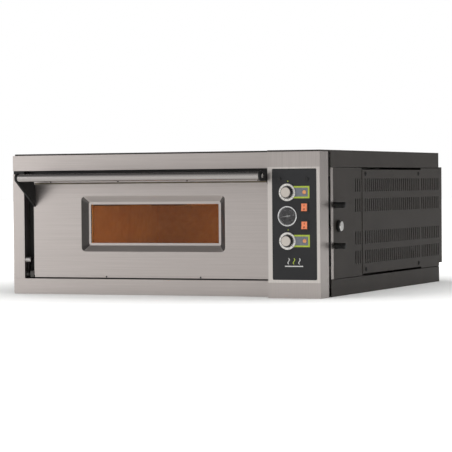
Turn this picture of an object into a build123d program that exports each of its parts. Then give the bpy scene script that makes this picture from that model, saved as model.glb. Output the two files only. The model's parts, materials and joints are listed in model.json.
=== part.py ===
from build123d import *
import os
from math import cos, radians, sin

# A single-deck electric baking oven. Millimetres. X runs from left to right as the cook sees it,
# Y from the front to the back, Z up. The origin is the middle of the underside of the casing.

# ---------------------------------------------------------------- driving dimensions: casing
body_width = 1000.0
body_depth = 1000.0
body_height = 413.0
casing_sheet = 1.5           # painted steel of the dark casing
steel_sheet = 1.2            # stainless steel of the front and the door
base_skirt = 50.0            # height of the tray's side walls
roof_skirt = 49.5            # how far the roof's side walls come down
roof_edge = 4.5              # dark roof edge that shows above the fascia
skirt_corner = 8.0
rear_box_depth = 32.0
rear_box_bottom = 60.5
rear_box_top = 367.0

# ---------------------------------------------------------------- driving dimensions: front
fascia_proud = 13.0          # fascias stand this far in front of the dark casing
bottom_fascia_height = 45.5
top_fascia_height = 45.0
post_width = 37.0
post_return = 31.0           # depth of the recess that the door closes into
post_top_gap = 9.5           # dark joint between the post and the top fascia
fascia_return = 12.0
strip_width = 19.0           # bright strip on the casing's front corners
column_width = 156.8
column_proud = 84.4
column_side_gap = 19.0       # dark joint between the column's outer side and the casing
column_inset = 6.0           # dark spacer's setback from the column's sides

# ---------------------------------------------------------------- driving dimensions: side panels
cover_start = 261.0          # removable middle cover, from the casing's front edge
cover_end = 813.0
cover_bottom = 55.0
cover_top = 358.0
cover_proud = 1.5
panel_gap = 1.0
slot_width = 7.0
slot_height = 38.0
slot_pitch = 18.7
slot_rows = [104.0, 160.5, 255.0, 313.0]
front_slots = 3
cover_slots = 28
rear_slots = 10
front_slot_edge = 18.6       # from the front panel's rear end to its last slot
rear_slot_edge = 11.0        # from the rear panel's front end to its first slot
left_slot_edge = 24.0        # from the left panel's rear end to its last slot
screw_inset_along = 28.0     # cover's screws, from its front and rear ends
screw_inset_up = 12.0
screw_tab_width = 14.0       # tabs of the fixed panels that the cover's screws go into
screw_tab_height = 28.0
screw_head_radius = 6.5
screw_head_height = 2.5
screw_shank_radius = 2.0
screw_shank_length = 8.0
buffer_radius = 8.5
buffer_length = 34.0
buffer_setback = 30.0        # from the casing's front edge
buffer_levels = [143.0, 258.0]

# ---------------------------------------------------------------- driving dimensions: door
door_recess_side = 33.0      # dark gap between the left post and the door
door_gap = 2.0               # gap between the door and the column
door_bottom_gap = 4.0
door_top_gap = 30.0
door_proud = 2.0             # skin stands this far in front of the fascias
gasket_thickness = 2.5
gasket_width = 10.0
gasket_margin = 4.0          # between the chamber's mouth and the seal
gasket_gap = 0.5
pan_lip = 6.0                # bright strips above and below the skin
pan_setback = 2.8            # strips' distance behind the skin's face
skin_return = 1.5
skin_top_groove = 4.0        # dark groove between the skin and the upper strip
recess_width = 457.0
recess_height = 162.6
recess_depth = 13.0
recess_wall_run = 18.0
recess_corner = 12.0
frame_width = 7.0            # flat rim round the glass
glass_thickness = 4.0
glass_level = 206.9          # height of the window's middle
insulation_clearance = 0.8
hinge_height = 58.5
hinge_setback = 12.0         # hinge axis behind the skin's face
hinge_pin_radius = 5.0
running_fit = 0.05           # radial clearance of pins and spindles
hinge_block_length = 24.0
hinge_block_radius = 7.5
bearing_length = 12.0
bearing_washer = 4.0
spring_length = 13.0
spring_radius = 9.0
anchor_level = 101.0
anchor_radius = 8.5
anchor_length = 18.0
handle_radius = 11.0
handle_wall = 1.5
handle_reach = 105.0         # handle's axis in front of the skin
handle_level = 342.0
bracket_thickness = 6.0
bracket_arm = 46.0           # straight stretch of the right bracket's lower edge, behind the tube
bracket_rim = 3.5            # bracket stands this far round the tube
handle_screw_radius = 6.5
handle_screw_head = 1.2
bracket_foot = 257.0         # lowest point of the brackets on the door

# ---------------------------------------------------------------- driving dimensions: chamber
chamber_side_margin = 55.6    # from the door's ends to the chamber's side walls
chamber_depth = 717.0
chamber_floor = 86.0
chamber_height = 190.0
liner_sheet = 2.0
tile_level = 110.0
tile_thickness = 20.0
tile_gap = 1.0
element_radius = 4.25
element_runs = 6
element_margin = 60.0
element_bend = 25.0
lower_element_level = 98.0
upper_element_level = 262.0
element_leg = 34.0           # cold ends that stand out behind the liner
rail_width = 12.0
ledge_width = 20.0
rail_positions = [0.2, 0.5, 0.8]
bead_radius = 7.0
bead_length = 16.0
insulation_side = 80.0
insulation_top = 78.0
insulation_rear = 120.0
cradle_height = 22.0
cradle_width = 60.0

# ---------------------------------------------------------------- driving dimensions: steam vent
vent_level = 198.5
vent_setback = 58.0          # vent rod's distance behind the casing's front edge
vent_hole_radius = 22.0
duct_height = 56.0
duct_width = 40.0
duct_sheet = 1.0
plug_radius = 25.0
plug_thickness = 4.0
plug_seat_gap = 0.3
vent_rod_radius = 4.0
vent_knob_radius = 17.0
vent_knob_height = 8.0
vent_cap_radius = 14.5
vent_cap_height = 3.5
outlet_radius = 24.0
outlet_wall = 1.5
outlet_length = 30.0
outlet_flange = 34.0

# ---------------------------------------------------------------- driving dimensions: controls
panel_left = 14.0            # black plate's distance from the column's left edge
panel_right = 10.5
panel_bottom = 51.5
panel_top = 361.0
panel_thickness = 0.8
panel_corner = 4.0
dial_offset = 59.5           # knobs and thermometer, from the column's left edge
switch_offset = 110.3        # rockers and pilot lamps, from the column's left edge
upper_dial_level = 295.5
lower_dial_level = 160.0
gauge_level = 229.0
upper_switch_level = 253.0
lower_switch_level = 203.0
reset_level = 332.0
reset_offsets = [37.0, 118.0]
reset_radius = 4.5
reset_height = 3.0
dial_radius = 24.6
dial_thickness = 2.0
dial_gap = 0.6
grip_base_radius = 18.0
grip_top_radius = 15.0
grip_height = 11.0
cap_radius = 13.8
cap_thickness = 1.2
spindle_radius = 3.0
spindle_hole_radius = 5.0
thermostat_size = 44.0
thermostat_depth = 28.0
thermostat_bore = 16.0
gauge_radius = 28.5
gauge_rim = 3.0
gauge_height = 2.0
gauge_seat_depth = 3.8       # back of the scale plate, behind the rim's front
gauge_case_depth = 24.0
needle_length = 19.0
needle_tail = 8.0
needle_hub_radius = 2.6
needle_thickness = 0.6
needle_pin_length = 1.4
needle_rest = 188.0          # degrees round from +X to the needle's tip, anticlockwise from the front
pin_radius = 0.8
bezel_width = 25.0
bezel_height = 30.0
bezel_proud = 2.0
rocker_width = 16.3
rocker_height = 20.8
rocker_side_gap = 0.35
rocker_end_gap = 0.8
rocker_tilt = 6.0
rocker_pin_radius = 1.5
switch_depth = 24.0
lamp_radius = 5.5
lamp_height = 2.5
lamp_body_radius = 4.2
lamp_body_length = 22.0
safety_radius = 9.0
safety_length = 30.0

# ---------------------------------------------------------------- driving dimensions: electrics, light
plate_sheet = 2.0
plate_setback = 160.0
plate_length = 520.0
plate_bottom = 70.0
plate_top = 340.0
contactor_size = (60.0, 75.0, 85.0)
terminal_size = (40.0, 110.0, 45.0)
gland_offset = 90.0          # cable gland, from the casing's right side
gland_level = 105.0
gland_radius = 14.0
gland_bore = 7.0
gland_length = 30.0
gland_nut = 18.0
gland_nut_length = 9.0
light_setback = 300.0        # chamber lamp, from the casing's front edge
light_level = 253.0
light_radius = 17.0
light_can_length = 40.0
lens_depth = 9.0

# ---------------------------------------------------------------- planes worked out from the above
left, right = -body_width / 2, body_width / 2
front, back = -body_depth / 2, body_depth / 2
fascia_y = front - fascia_proud
surround_y = fascia_y + post_return
surround_back = surround_y + casing_sheet
fascia_top = body_height - roof_edge
fascia_low = fascia_top - top_fascia_height
column_left = right - column_width
column_y = front - column_proud
panel_y = column_y - panel_thickness
gauge_front_y = panel_y - gauge_height
gauge_glass_y = gauge_front_y + 0.5
gauge_back_y = gauge_front_y + gauge_seat_depth

door_left = left + post_width + door_recess_side
door_right = column_left - door_gap
door_middle = (door_left + door_right) / 2
door_bottom = bottom_fascia_height + door_bottom_gap
door_top = fascia_low - door_top_gap
skin_y = fascia_y - door_proud
door_back = surround_y - gasket_thickness - gasket_gap
pan_y = skin_y + pan_setback
skin_bottom = door_bottom + pan_lip
skin_top = door_top - pan_lip - skin_top_groove
glass_y = skin_y + recess_depth + steel_sheet
glass_width = recess_width - 2 * recess_wall_run
glass_height = recess_height - 2 * recess_wall_run
view_width = glass_width - 2 * frame_width
view_height = glass_height - 2 * frame_width
hinge_y = skin_y + hinge_setback
handle_y = skin_y - handle_reach

chamber_left = door_left + chamber_side_margin
chamber_right = door_right - chamber_side_margin
chamber_width = chamber_right - chamber_left
chamber_back = surround_back + chamber_depth
chamber_top = chamber_floor + chamber_height
liner_right = chamber_right + liner_sheet
vent_y = front + vent_setback
insulation_floor = casing_sheet + cradle_height

dial_x = column_left + dial_offset
switch_x = column_left + switch_offset
panel_level = base_skirt
panel_crown = body_height - roof_skirt


# ---------------------------------------------------------------- helpers
def block(x, y, z):
    """A box given by its two limits along each axis."""
    limits = (x, y, z)
    middle = [(low + high) / 2 for low, high in limits]
    size = [high - low for low, high in limits]
    return Pos(*middle) * Box(*size)


def rod_x(y, z, radius, x):
    """A round bar along X between two limits."""
    middle = Pos((x[0] + x[1]) / 2, y, z)
    return middle * Rot(0, 90, 0) * Cylinder(radius, x[1] - x[0])


def rod_y(x, z, radius, y):
    """A round bar along Y between two limits."""
    middle = Pos(x, (y[0] + y[1]) / 2, z)
    return middle * Rot(90, 0, 0) * Cylinder(radius, y[1] - y[0])


def cone_y(x, z, front_radius, back_radius, y):
    """A tapered round bar along Y between two limits."""
    middle = Pos(x, (y[0] + y[1]) / 2, z)
    return middle * Rot(90, 0, 0) * Cone(back_radius, front_radius, y[1] - y[0])


def front_plane(y):
    """A sketching plane that faces the cook: its x is +X, its y is +Z."""
    return Plane(origin=(0, y, 0), x_dir=(1, 0, 0), z_dir=(0, -1, 0))


def rounded_plate(x, z, y, corner):
    """A plate that faces the cook, with rounded corners, from y[0] back to y[1]."""
    outline = Pos((x[0] + x[1]) / 2, (z[0] + z[1]) / 2) * RectangleRounded(x[1] - x[0], z[1] - z[0], corner)
    return extrude(front_plane(y[1]) * outline, y[1] - y[0])


def side_outline(points, x):
    """A prism along X whose outline is given as (y, z) points."""
    plane = Plane(origin=(x[0], 0, 0), x_dir=(0, 1, 0), z_dir=(1, 0, 0))
    return extrude(plane * make_face(Polyline(*points, close=True)), x[1] - x[0])


def window_opening(width, height, y):
    """The through opening of the window at one size."""
    half_width = width / 2
    half_height = height / 2
    sides = (door_middle - half_width, door_middle + half_width)
    levels = (glass_level - half_height, glass_level + half_height)
    return block(sides, y, levels)


# ---------------------------------------------------------------- dark casing
def base_tray():
    """Bottom sheet with upright side walls whose front upper corners are rounded."""
    outline = [(front, 0), (back, 0), (back, base_skirt), (front, base_skirt)]
    tray = block((left, right), (front, back), (0, casing_sheet))
    for x in (left, right - casing_sheet):
        wall = side_outline(outline, (x, x + casing_sheet))
        corner = wall.edges().filter_by(Axis.X).sort_by(Axis.Y)[:2].sort_by(Axis.Z)[-1]
        tray += fillet(corner, skirt_corner)
    return tray + block((left, right), (back - casing_sheet, back), (0, base_skirt))


def roof_cover():
    """Top sheet with turned-down side walls and a narrow front edge above the fascia."""
    inner_top = body_height - casing_sheet
    roof = block((left, right), (front, back), (inner_top, body_height))
    for x in (left, right - casing_sheet):
        roof += block((x, x + casing_sheet), (front, back), (panel_crown, body_height))
    roof += block((left, right), (back - casing_sheet, back), (panel_crown, body_height))
    x = (left + roof_edge * 2, column_left)
    lip = block(x, (fascia_y, front), (inner_top, body_height))
    edge = block(x, (fascia_y, fascia_y + casing_sheet), (fascia_top, body_height))
    return roof + lip + edge


def column_cap():
    """Dark lid of the control column, level with the roof."""
    lid = block((column_left, right), (column_y, front), (body_height - casing_sheet, body_height))
    for y in (column_y, front - casing_sheet):
        lid += block((column_left, right), (y, y + casing_sheet), (fascia_top, body_height))
    for x in (column_left, right - casing_sheet):
        lid += block((x, x + casing_sheet), (column_y, front), (fascia_top, body_height))
    return lid


def slotted_panel(x, y, z, first_slot, slots):
    """A side panel with rows of upright louvre slots, from the first slot's place backwards."""
    panel = block(x, y, z)
    middle = first_slot + (slots - 1) * slot_pitch / 2
    plane = Plane(origin=(x[0] - 1, 0, 0), x_dir=(0, 1, 0), z_dir=(1, 0, 0))
    pattern = Sketch()
    for level in slot_rows:
        places = GridLocations(slot_pitch, 1, slots, 1)
        pattern += Pos(middle, level) * places * Rectangle(slot_width, slot_height)
    return panel - extrude(plane * pattern, x[1] - x[0] + 2)


def screw_tabs(start, end):
    """Tabs behind the middle cover at its upper and lower corners, with the screws' holes."""
    x = (right - casing_sheet, right)
    tabs = block(x, (start, end), (cover_bottom, cover_bottom + screw_tab_height))
    tabs += block(x, (start, end), (cover_top - screw_tab_height, cover_top))
    for y, z in cover_screw_places():
        tabs -= rod_x(y, z, screw_shank_radius, (x[0] - 1, x[1] + 1))
    return tabs


def right_side_front():
    """Fixed front panel on the right, with the vent rod's hole, the first slots and two screw tabs."""
    x = (right - casing_sheet, right)
    y = (front + strip_width, front + cover_start - panel_gap)
    first_slot = front + cover_start - front_slot_edge - (front_slots - 1) * slot_pitch
    panel = slotted_panel(x, y, (panel_level, panel_crown), first_slot, front_slots)
    panel += screw_tabs(y[1], front + cover_start + screw_inset_along + screw_tab_width / 2)
    return panel - rod_x(vent_y, vent_level, vent_rod_radius + running_fit, (x[0] - 1, x[1] + 1))


def right_side_rear():
    """Fixed rear panel on the right, with two screw tabs."""
    x = (right - casing_sheet, right)
    y = (front + cover_end + panel_gap, back)
    panel = slotted_panel(x, y, (panel_level, panel_crown), front + cover_end + rear_slot_edge, rear_slots)
    return panel + screw_tabs(front + cover_end - screw_inset_along - screw_tab_width / 2, y[0])


def cover_screw_places():
    inset_y = (front + cover_start + screw_inset_along, front + cover_end - screw_inset_along)
    inset_z = (cover_bottom + screw_inset_up, cover_top - screw_inset_up)
    return [(y, z) for y in inset_y for z in inset_z]


def right_side_cover():
    """Removable middle cover, a little lower than the panels beside it and proud of them, on four screws."""
    x = (right - casing_sheet + cover_proud, right + cover_proud)
    y = (front + cover_start, front + cover_end)
    span = (cover_slots - 1) * slot_pitch
    cover = slotted_panel(x, y, (cover_bottom, cover_top), (y[0] + y[1] - span) / 2, cover_slots)
    for place in cover_screw_places():
        cover -= rod_x(*place, screw_shank_radius, (x[0] - 1, x[1] + 1))
    return cover


def cover_screws():
    """Pan-head screws of the middle cover."""
    face = right + cover_proud
    screws = []
    for place in cover_screw_places():
        head = rod_x(*place, screw_head_radius, (face, face + screw_head_height))
        screws.append(head + rod_x(*place, screw_shank_radius, (face - screw_shank_length, face)))
    return screws


def left_side_panel():
    """One-piece panel on the left with the same rows of slots."""
    slots = front_slots + cover_slots + rear_slots
    first_slot = back - left_slot_edge - (slots - 1) * slot_pitch
    y = (front + strip_width, back)
    return slotted_panel((left, left + casing_sheet), y, (panel_level, panel_crown), first_slot, slots)


def side_buffers():
    """Two round black buffers beside the vent knob."""
    y = front + buffer_setback
    pegs = [rod_x(y, level, buffer_radius, (right, right + buffer_length)) for level in buffer_levels]
    return [fillet(peg.edges().sort_by(Axis.X)[-1], buffer_radius / 3) for peg in pegs]


def back_panel():
    """Rear wall of the casing with openings for the vent duct and the wiring."""
    inside = (left + casing_sheet, right - casing_sheet)
    y = (back - 2 * casing_sheet, back - casing_sheet)
    wall = block(inside, y, (casing_sheet, body_height - casing_sheet))
    duct = duct_limits()
    wall -= block(duct[0], (back - 20, back + 1), duct[1])
    wiring = right - gland_offset
    return wall - rod_y(wiring, gland_level, gland_nut, (back - 20, back + 1))


def rear_cover():
    """Shallow box over the rear wall, open towards it."""
    outer = block((left, right), (back, back + rear_box_depth), (rear_box_bottom, rear_box_top))
    inner_x = (left + casing_sheet, right - casing_sheet)
    inner_z = (rear_box_bottom + casing_sheet, rear_box_top - casing_sheet)
    outer -= block(inner_x, (back - 1, back + rear_box_depth - casing_sheet), inner_z)
    duct = duct_limits()
    middle = (duct[0][0] + duct[0][1]) / 2
    holes = (back + rear_box_depth - 5, back + rear_box_depth + 1)
    outer -= rod_y(middle, vent_level, outlet_radius - outlet_wall, holes)
    return outer - rod_y(right - gland_offset, gland_level, gland_radius, holes)


# ---------------------------------------------------------------- stainless front
def corner_strips():
    """Bright strips on the casing's front side edges."""
    strips = []
    for x in ((left, left + casing_sheet), (right - casing_sheet, right)):
        strips.append(block(x, (front, front + strip_width), (panel_level, panel_crown)))
    return strips


def top_fascia():
    """Folded stainless fascia above the door."""
    x = (left, column_left)
    face = block(x, (fascia_y, fascia_y + steel_sheet), (fascia_low, fascia_top))
    inside = (left + casing_sheet, column_left)
    underside = block(inside, (fascia_y, surround_y), (fascia_low, fascia_low + steel_sheet))
    topside = block(x, (fascia_y, fascia_y + fascia_return), (fascia_top - steel_sheet, fascia_top))
    end = block((left, left + steel_sheet), (fascia_y, front), (fascia_low, fascia_top))
    return face + underside + topside + end


def bottom_fascia():
    """Folded stainless sill below the door, with a rounded lower left corner."""
    x = (left, column_left)
    face = block(x, (fascia_y, fascia_y + steel_sheet), (0, bottom_fascia_height))
    corner = face.edges().filter_by(Axis.Y).group_by(Axis.X)[0].sort_by(Axis.Z)[0]
    face = fillet(corner, skirt_corner / 2)
    inset = (left + skirt_corner, column_left)
    top_z = (bottom_fascia_height - steel_sheet, bottom_fascia_height)
    upper = block((left + casing_sheet, column_left), (fascia_y, surround_y), top_z)
    lower = block(inset, (fascia_y, front), (0, steel_sheet))
    return face + upper + lower


def left_post():
    """Upright beside the door: a face and a return into the recess."""
    z = (bottom_fascia_height, fascia_low - post_top_gap)
    face = block((left, left + post_width), (fascia_y, fascia_y + steel_sheet), z)
    inner = block((left + post_width - steel_sheet, left + post_width), (fascia_y, surround_y), z)
    outer = block((left, left + steel_sheet), (fascia_y, front), z)
    return face + inner + outer


def door_surround():
    """Black wall behind the door, with the chamber's mouth and the filler above the left post."""
    x = (left + casing_sheet, column_left)
    z = (casing_sheet, body_height - casing_sheet)
    wall = block(x, (surround_y, surround_back), z)
    mouth = (chamber_left, chamber_right)
    wall -= block(mouth, (surround_y - 1, surround_back + 1), (chamber_floor, chamber_top))
    filler_x = (left + casing_sheet, left + post_width - steel_sheet)
    filler_z = (fascia_low - post_top_gap, fascia_low)
    return wall + block(filler_x, (fascia_y + steel_sheet, surround_y), filler_z)


def door_gasket():
    """Braided seal round the chamber's mouth."""
    y = (surround_y - gasket_thickness, surround_y)
    inner = gasket_margin
    outer = gasket_margin + gasket_width
    outer_x = (chamber_left - outer, chamber_right + outer)
    outer_z = (chamber_floor - outer, chamber_top + outer)
    mouth_x = (chamber_left - inner, chamber_right + inner)
    mouth_z = (chamber_floor - inner, chamber_top + inner)
    return block(outer_x, y, outer_z) - block(mouth_x, (y[0] - 1, y[1] + 1), mouth_z)


# ---------------------------------------------------------------- control column
def control_column():
    """Stainless box that stands proud of the front and carries the controls."""
    y = (column_y, front - column_side_gap)
    box = block((column_left, right), y, (0, fascia_top))
    hollow = (column_left + steel_sheet, right - steel_sheet)
    box -= block(hollow, (column_y + steel_sheet, y[1] + 1), (steel_sheet, fascia_top - steel_sheet))
    box += block((column_left, column_left + steel_sheet), (column_y, front), (0, fascia_top))
    box += block((column_left, column_left + steel_sheet), (front, surround_y), (casing_sheet, fascia_top))
    back_face = column_y + steel_sheet + 1
    through = (column_y - 1, back_face)
    for level in (upper_dial_level, lower_dial_level):
        box -= rod_y(dial_x, level, spindle_hole_radius, through)
        box -= rod_y(switch_x, level, lamp_body_radius, through)
    box -= rod_y(dial_x, gauge_level, gauge_radius - gauge_rim, through)
    for level in (upper_switch_level, lower_switch_level):
        box -= block(*switch_body_limits(level, through))
    for offset in reset_offsets:
        box -= rod_y(column_left + offset, reset_level, reset_radius - 1, through)
    wall = (column_left - 1, column_left + steel_sheet + 1)
    return box - rod_x(hinge_y, hinge_height, hinge_pin_radius + 1, wall)


def column_spacer():
    """Dark set-back frame between the column and the casing."""
    outer_x = (column_left + steel_sheet, right - column_inset)
    outer_z = (column_inset, fascia_top - column_inset)
    spacer = block(outer_x, (front - column_side_gap, front), outer_z)
    wall = casing_sheet
    inner_x = (outer_x[0] + wall, outer_x[1] - wall)
    inner_z = (outer_z[0] + wall, outer_z[1] - wall)
    spacer -= block(inner_x, (front - column_side_gap - 1, front + 1), inner_z)
    return spacer - rod_x(hinge_y, hinge_height, hinge_pin_radius + 1, (outer_x[0] - 1, inner_x[0] + 1))


def control_panel():
    """Black front plate of the controls."""
    x = (column_left + panel_left, right - panel_right)
    plate = rounded_plate(x, (panel_bottom, panel_top), (panel_y, column_y), panel_corner)
    through = (panel_y - 1, column_y + 1)
    for level in (upper_dial_level, lower_dial_level):
        plate -= rod_y(dial_x, level, spindle_hole_radius, through)
        plate -= rod_y(switch_x, level, lamp_body_radius, through)
    plate -= rod_y(dial_x, gauge_level, gauge_radius - gauge_rim, through)
    for level in (upper_switch_level, lower_switch_level):
        plate -= block(*switch_body_limits(level, through))
    for offset in reset_offsets:
        plate -= rod_y(column_left + offset, reset_level, reset_radius - 1, through)
    return plate


def reset_caps():
    """Screw caps over the safety thermostats' reset buttons."""
    caps = []
    for offset in reset_offsets:
        x = column_left + offset
        cap = rod_y(x, reset_level, reset_radius, (panel_y - reset_height, panel_y))
        caps.append(cap + rod_y(x, reset_level, reset_radius - 1, (panel_y, column_y + steel_sheet)))
    return caps


def safety_thermostats():
    """Over-temperature cut-outs behind the reset caps."""
    y = (column_y + steel_sheet, column_y + steel_sheet + safety_length)
    return [rod_y(column_left + offset, reset_level, safety_radius, y) for offset in reset_offsets]


def thermostat(level):
    """Control thermostat with the bore that its spindle turns in."""
    start = column_y + steel_sheet
    half = thermostat_size / 2
    y = (start, start + thermostat_depth)
    case = block((dial_x - half, dial_x + half), y, (level - half, level + half))
    return case - rod_y(dial_x, level, spindle_radius + running_fit, (start - 1, start + thermostat_bore))


def knob_dial(level):
    """Flat ring with the temperature scale, fixed to the knob."""
    y = (panel_y - dial_gap - dial_thickness, panel_y - dial_gap)
    return rod_y(dial_x, level, dial_radius, y) - rod_y(dial_x, level, spindle_radius, (y[0] - 1, y[1] + 1))


def knob_grip(level):
    """Tapered black grip with a shallow seat for its metal cap."""
    y = panel_y - dial_gap - dial_thickness
    grip = cone_y(dial_x, level, grip_top_radius, grip_base_radius, (y - grip_height, y))
    grip -= rod_y(dial_x, level, cap_radius, (y - grip_height - 1, y - grip_height + cap_thickness / 2))
    return grip - rod_y(dial_x, level, spindle_radius, (y - grip_height / 2, y + 1))


def knob_cap(level):
    """Turned metal disc on the grip."""
    face = panel_y - dial_gap - dial_thickness - grip_height
    return rod_y(dial_x, level, cap_radius, (face - cap_thickness / 2, face + cap_thickness / 2))


def knob_spindle(level):
    """Steel shaft from the grip into the thermostat."""
    start = panel_y - dial_gap - dial_thickness - grip_height / 2
    return rod_y(dial_x, level, spindle_radius, (start, column_y + steel_sheet + thermostat_bore - 1))


def pilot_lamps():
    """Amber pilot lamps beside the knobs."""
    lamps = []
    for level in (upper_dial_level, lower_dial_level):
        lens = rod_y(switch_x, level, lamp_radius, (panel_y - lamp_height, panel_y))
        lens = fillet(lens.edges().sort_by(Axis.Y)[0], lamp_height * 0.8)
        lamps.append(lens + rod_y(switch_x, level, lamp_body_radius, (panel_y, panel_y + lamp_body_length)))
    return lamps


# ---------------------------------------------------------------- thermometer
def gauge_case():
    """Chromed rim and case of the thermometer."""
    rim = rod_y(dial_x, gauge_level, gauge_radius, (gauge_front_y, panel_y))
    rim = fillet(rim.edges().sort_by(Axis.Y)[0], gauge_rim / 3)
    outer = gauge_radius - gauge_rim
    inner = outer - steel_sheet
    rim -= rod_y(dial_x, gauge_level, outer, (gauge_front_y - 1, panel_y + 1))
    rear = panel_y + gauge_case_depth
    can_front = gauge_glass_y + 2 * needle_thickness
    can = rod_y(dial_x, gauge_level, outer, (can_front, rear))
    can -= rod_y(dial_x, gauge_level, inner, (can_front - 1, rear - steel_sheet))
    seat = rod_y(dial_x, gauge_level, inner, (gauge_back_y, gauge_back_y + steel_sheet))
    seat -= rod_y(dial_x, gauge_level, inner - steel_sheet, (gauge_back_y - 1, gauge_back_y + 2))
    return rim + can + seat


def gauge_face():
    """Dark scale plate with the small pin that the needle turns on."""
    radius = gauge_radius - gauge_rim - steel_sheet
    plate_y = gauge_back_y - needle_thickness
    plate = rod_y(dial_x, gauge_level, radius, (plate_y, gauge_back_y))
    return plate + rod_y(dial_x, gauge_level, pin_radius, (plate_y - needle_pin_length, gauge_back_y))


def gauge_glass():
    """Flat glass of the thermometer."""
    y = (gauge_glass_y, gauge_glass_y + 2 * needle_thickness)
    return rod_y(dial_x, gauge_level, gauge_radius - gauge_rim, y)


def gauge_needle():
    """White needle: a hub, a long tip and a short tail."""
    plane_y = gauge_back_y - 2 * needle_thickness
    y = (plane_y - needle_thickness, plane_y)
    corners = [(needle_length, 0.5), (needle_length, -0.5), (-needle_tail, -1.6), (-needle_tail, 1.6)]
    outline = Polyline(*corners, close=True)
    bar = extrude(make_face(outline), needle_thickness)
    bar = Pos(dial_x, y[1], gauge_level) * Rot(90, 0, 0) * Rot(0, 0, needle_rest) * bar
    needle = bar + rod_y(dial_x, gauge_level, needle_hub_radius, y)
    return needle - rod_y(dial_x, gauge_level, pin_radius + running_fit, (y[0] - 1, y[1] + 1))


# ---------------------------------------------------------------- rocker switches
def switch_body_limits(level, y):
    """The part of a switch that passes through the plate and the column's face."""
    half_width = rocker_width / 2 + 2
    half_height = rocker_height / 2 + 3
    return ((switch_x - half_width, switch_x + half_width), y, (level - half_height, level + half_height))


def rocker_pivot():
    """How far behind the bezel's face a rocker's axis lies."""
    return panel_y - bezel_proud + 3.0


def switch_body(level):
    """Black switch body with its bezel and the pocket that the rocker tilts in."""
    bezel_x = (switch_x - bezel_width / 2, switch_x + bezel_width / 2)
    bezel_z = (level - bezel_height / 2, level + bezel_height / 2)
    face = panel_y - bezel_proud
    bezel = rounded_plate(bezel_x, bezel_z, (face, panel_y), 1.5)
    body = bezel + block(*switch_body_limits(level, (panel_y, panel_y + switch_depth)))
    pocket_half = rocker_width / 2 + rocker_side_gap
    pocket_x = (switch_x - pocket_half, switch_x + pocket_half)
    pocket_height = rocker_height / 2 + rocker_end_gap
    pocket_z = (level - pocket_height, level + pocket_height)
    body -= block(pocket_x, (face - 1, face + switch_depth / 2), pocket_z)
    pin = rod_x(rocker_pivot(), level, rocker_pin_radius + running_fit, (pocket_x[0] - 1, pocket_x[1] + 1))
    return body - pin


def rocker(level):
    """Orange rocker with pivot pins, at rest with its upper half pressed in."""
    half = rocker_height / 2
    outline = [(-4.6, half), (-3.5, 0), (-4.6, -half), (-1.0, -half), (4.0, -3.0), (4.0, 3.0), (-1.0, half)]
    width = (-rocker_width / 2, rocker_width / 2)
    body = side_outline(outline, width)
    pin_end = rocker_width / 2 + rocker_side_gap + 0.8
    body += rod_x(0, 0, rocker_pin_radius, (-pin_end, pin_end))
    return Pos(switch_x, rocker_pivot(), level) * Rot(-rocker_tilt, 0, 0) * body


# ---------------------------------------------------------------- door
def recess_loft(extra, depth_from, depth_to):
    """The window's tapering press, grown outwards by extra, between two depths behind the skin."""
    outer_width = recess_width + 2 * extra
    outer_height = recess_height + 2 * extra
    sections = []
    for depth in (depth_from, depth_to):
        shrink = 2 * recess_wall_run * depth / recess_depth
        corner = (recess_corner + extra) * (1 - 0.4 * depth / recess_depth)
        outline = RectangleRounded(outer_width - shrink, outer_height - shrink, corner)
        sections.append(front_plane(skin_y + depth) * Pos(door_middle, glass_level) * outline)
    return loft(sections, ruled=True)


def door_skin():
    """Stainless outer skin with the pressed window recess and folded edges."""
    x = (door_left, door_right)
    z = (skin_bottom, skin_top)
    skin = block(x, (skin_y, skin_y + steel_sheet), z)
    skin += block(x, (skin_y, skin_y + steel_sheet + skin_return), (skin_top - steel_sheet, skin_top))
    skin += recess_loft(steel_sheet, 0, recess_depth)
    floor_width = recess_width - 2 * recess_wall_run + 2 * steel_sheet
    floor_height = recess_height - 2 * recess_wall_run + 2 * steel_sheet
    skin += window_opening(floor_width, floor_height, (skin_y + recess_depth - 0.01, glass_y))
    skin -= recess_loft(0, 0, recess_depth)
    return skin - window_opening(view_width, view_height, (skin_y, glass_y + 1))


def door_pan():
    """Inner door pan: back wall, four side walls and the two bright strips."""
    x = (door_left, door_right)
    pan = block(x, (pan_y, door_back), (door_bottom, door_top))
    inner_x = (door_left + steel_sheet, door_right - steel_sheet)
    inner_z = (door_bottom + steel_sheet, door_top - steel_sheet)
    pan -= block(inner_x, (pan_y + steel_sheet, door_back - steel_sheet), inner_z)
    lips_z = (door_bottom + pan_lip, door_top - pan_lip)
    pan -= block((x[0] - 1, x[1] + 1), (pan_y - 1, pan_y + steel_sheet), lips_z)
    pan -= window_opening(view_width, view_height, (door_back - 2 * steel_sheet, door_back + 1))
    for side in (door_left, door_right):
        pan -= rod_x(hinge_y, hinge_height, hinge_pin_radius, (side - 2, side + 2))
    return pan


def door_insulation():
    """Mineral wool slab between the pan and the skin, cut out for the window and the hinge blocks."""
    gap = insulation_clearance
    x = (door_left + steel_sheet + gap, door_right - steel_sheet - gap)
    y = (pan_y + steel_sheet + gap, door_back - steel_sheet - gap)
    z = (door_bottom + steel_sheet + gap, door_top - steel_sheet - gap)
    slab = block(x, y, z)
    clear = 2 * (steel_sheet + gap)
    slab -= window_opening(recess_width + clear, recess_height + clear, (y[0] - 1, y[1] + 1))
    for start, end in hinge_block_spans():
        radius = hinge_block_radius + gap
        slab -= block((start - gap, end + gap), (y[0] - 1, y[1] + 1), (z[0] - 1, hinge_height + radius))
    return slab


def outer_glass():
    """Front pane, seated behind the recess's flat rim."""
    return window_opening(glass_width, glass_height, (glass_y, glass_y + glass_thickness))


def inner_glass():
    """Rear pane, seated on the pan."""
    seat = door_back - steel_sheet
    return window_opening(glass_width, glass_height, (seat - glass_thickness, seat))


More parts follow.
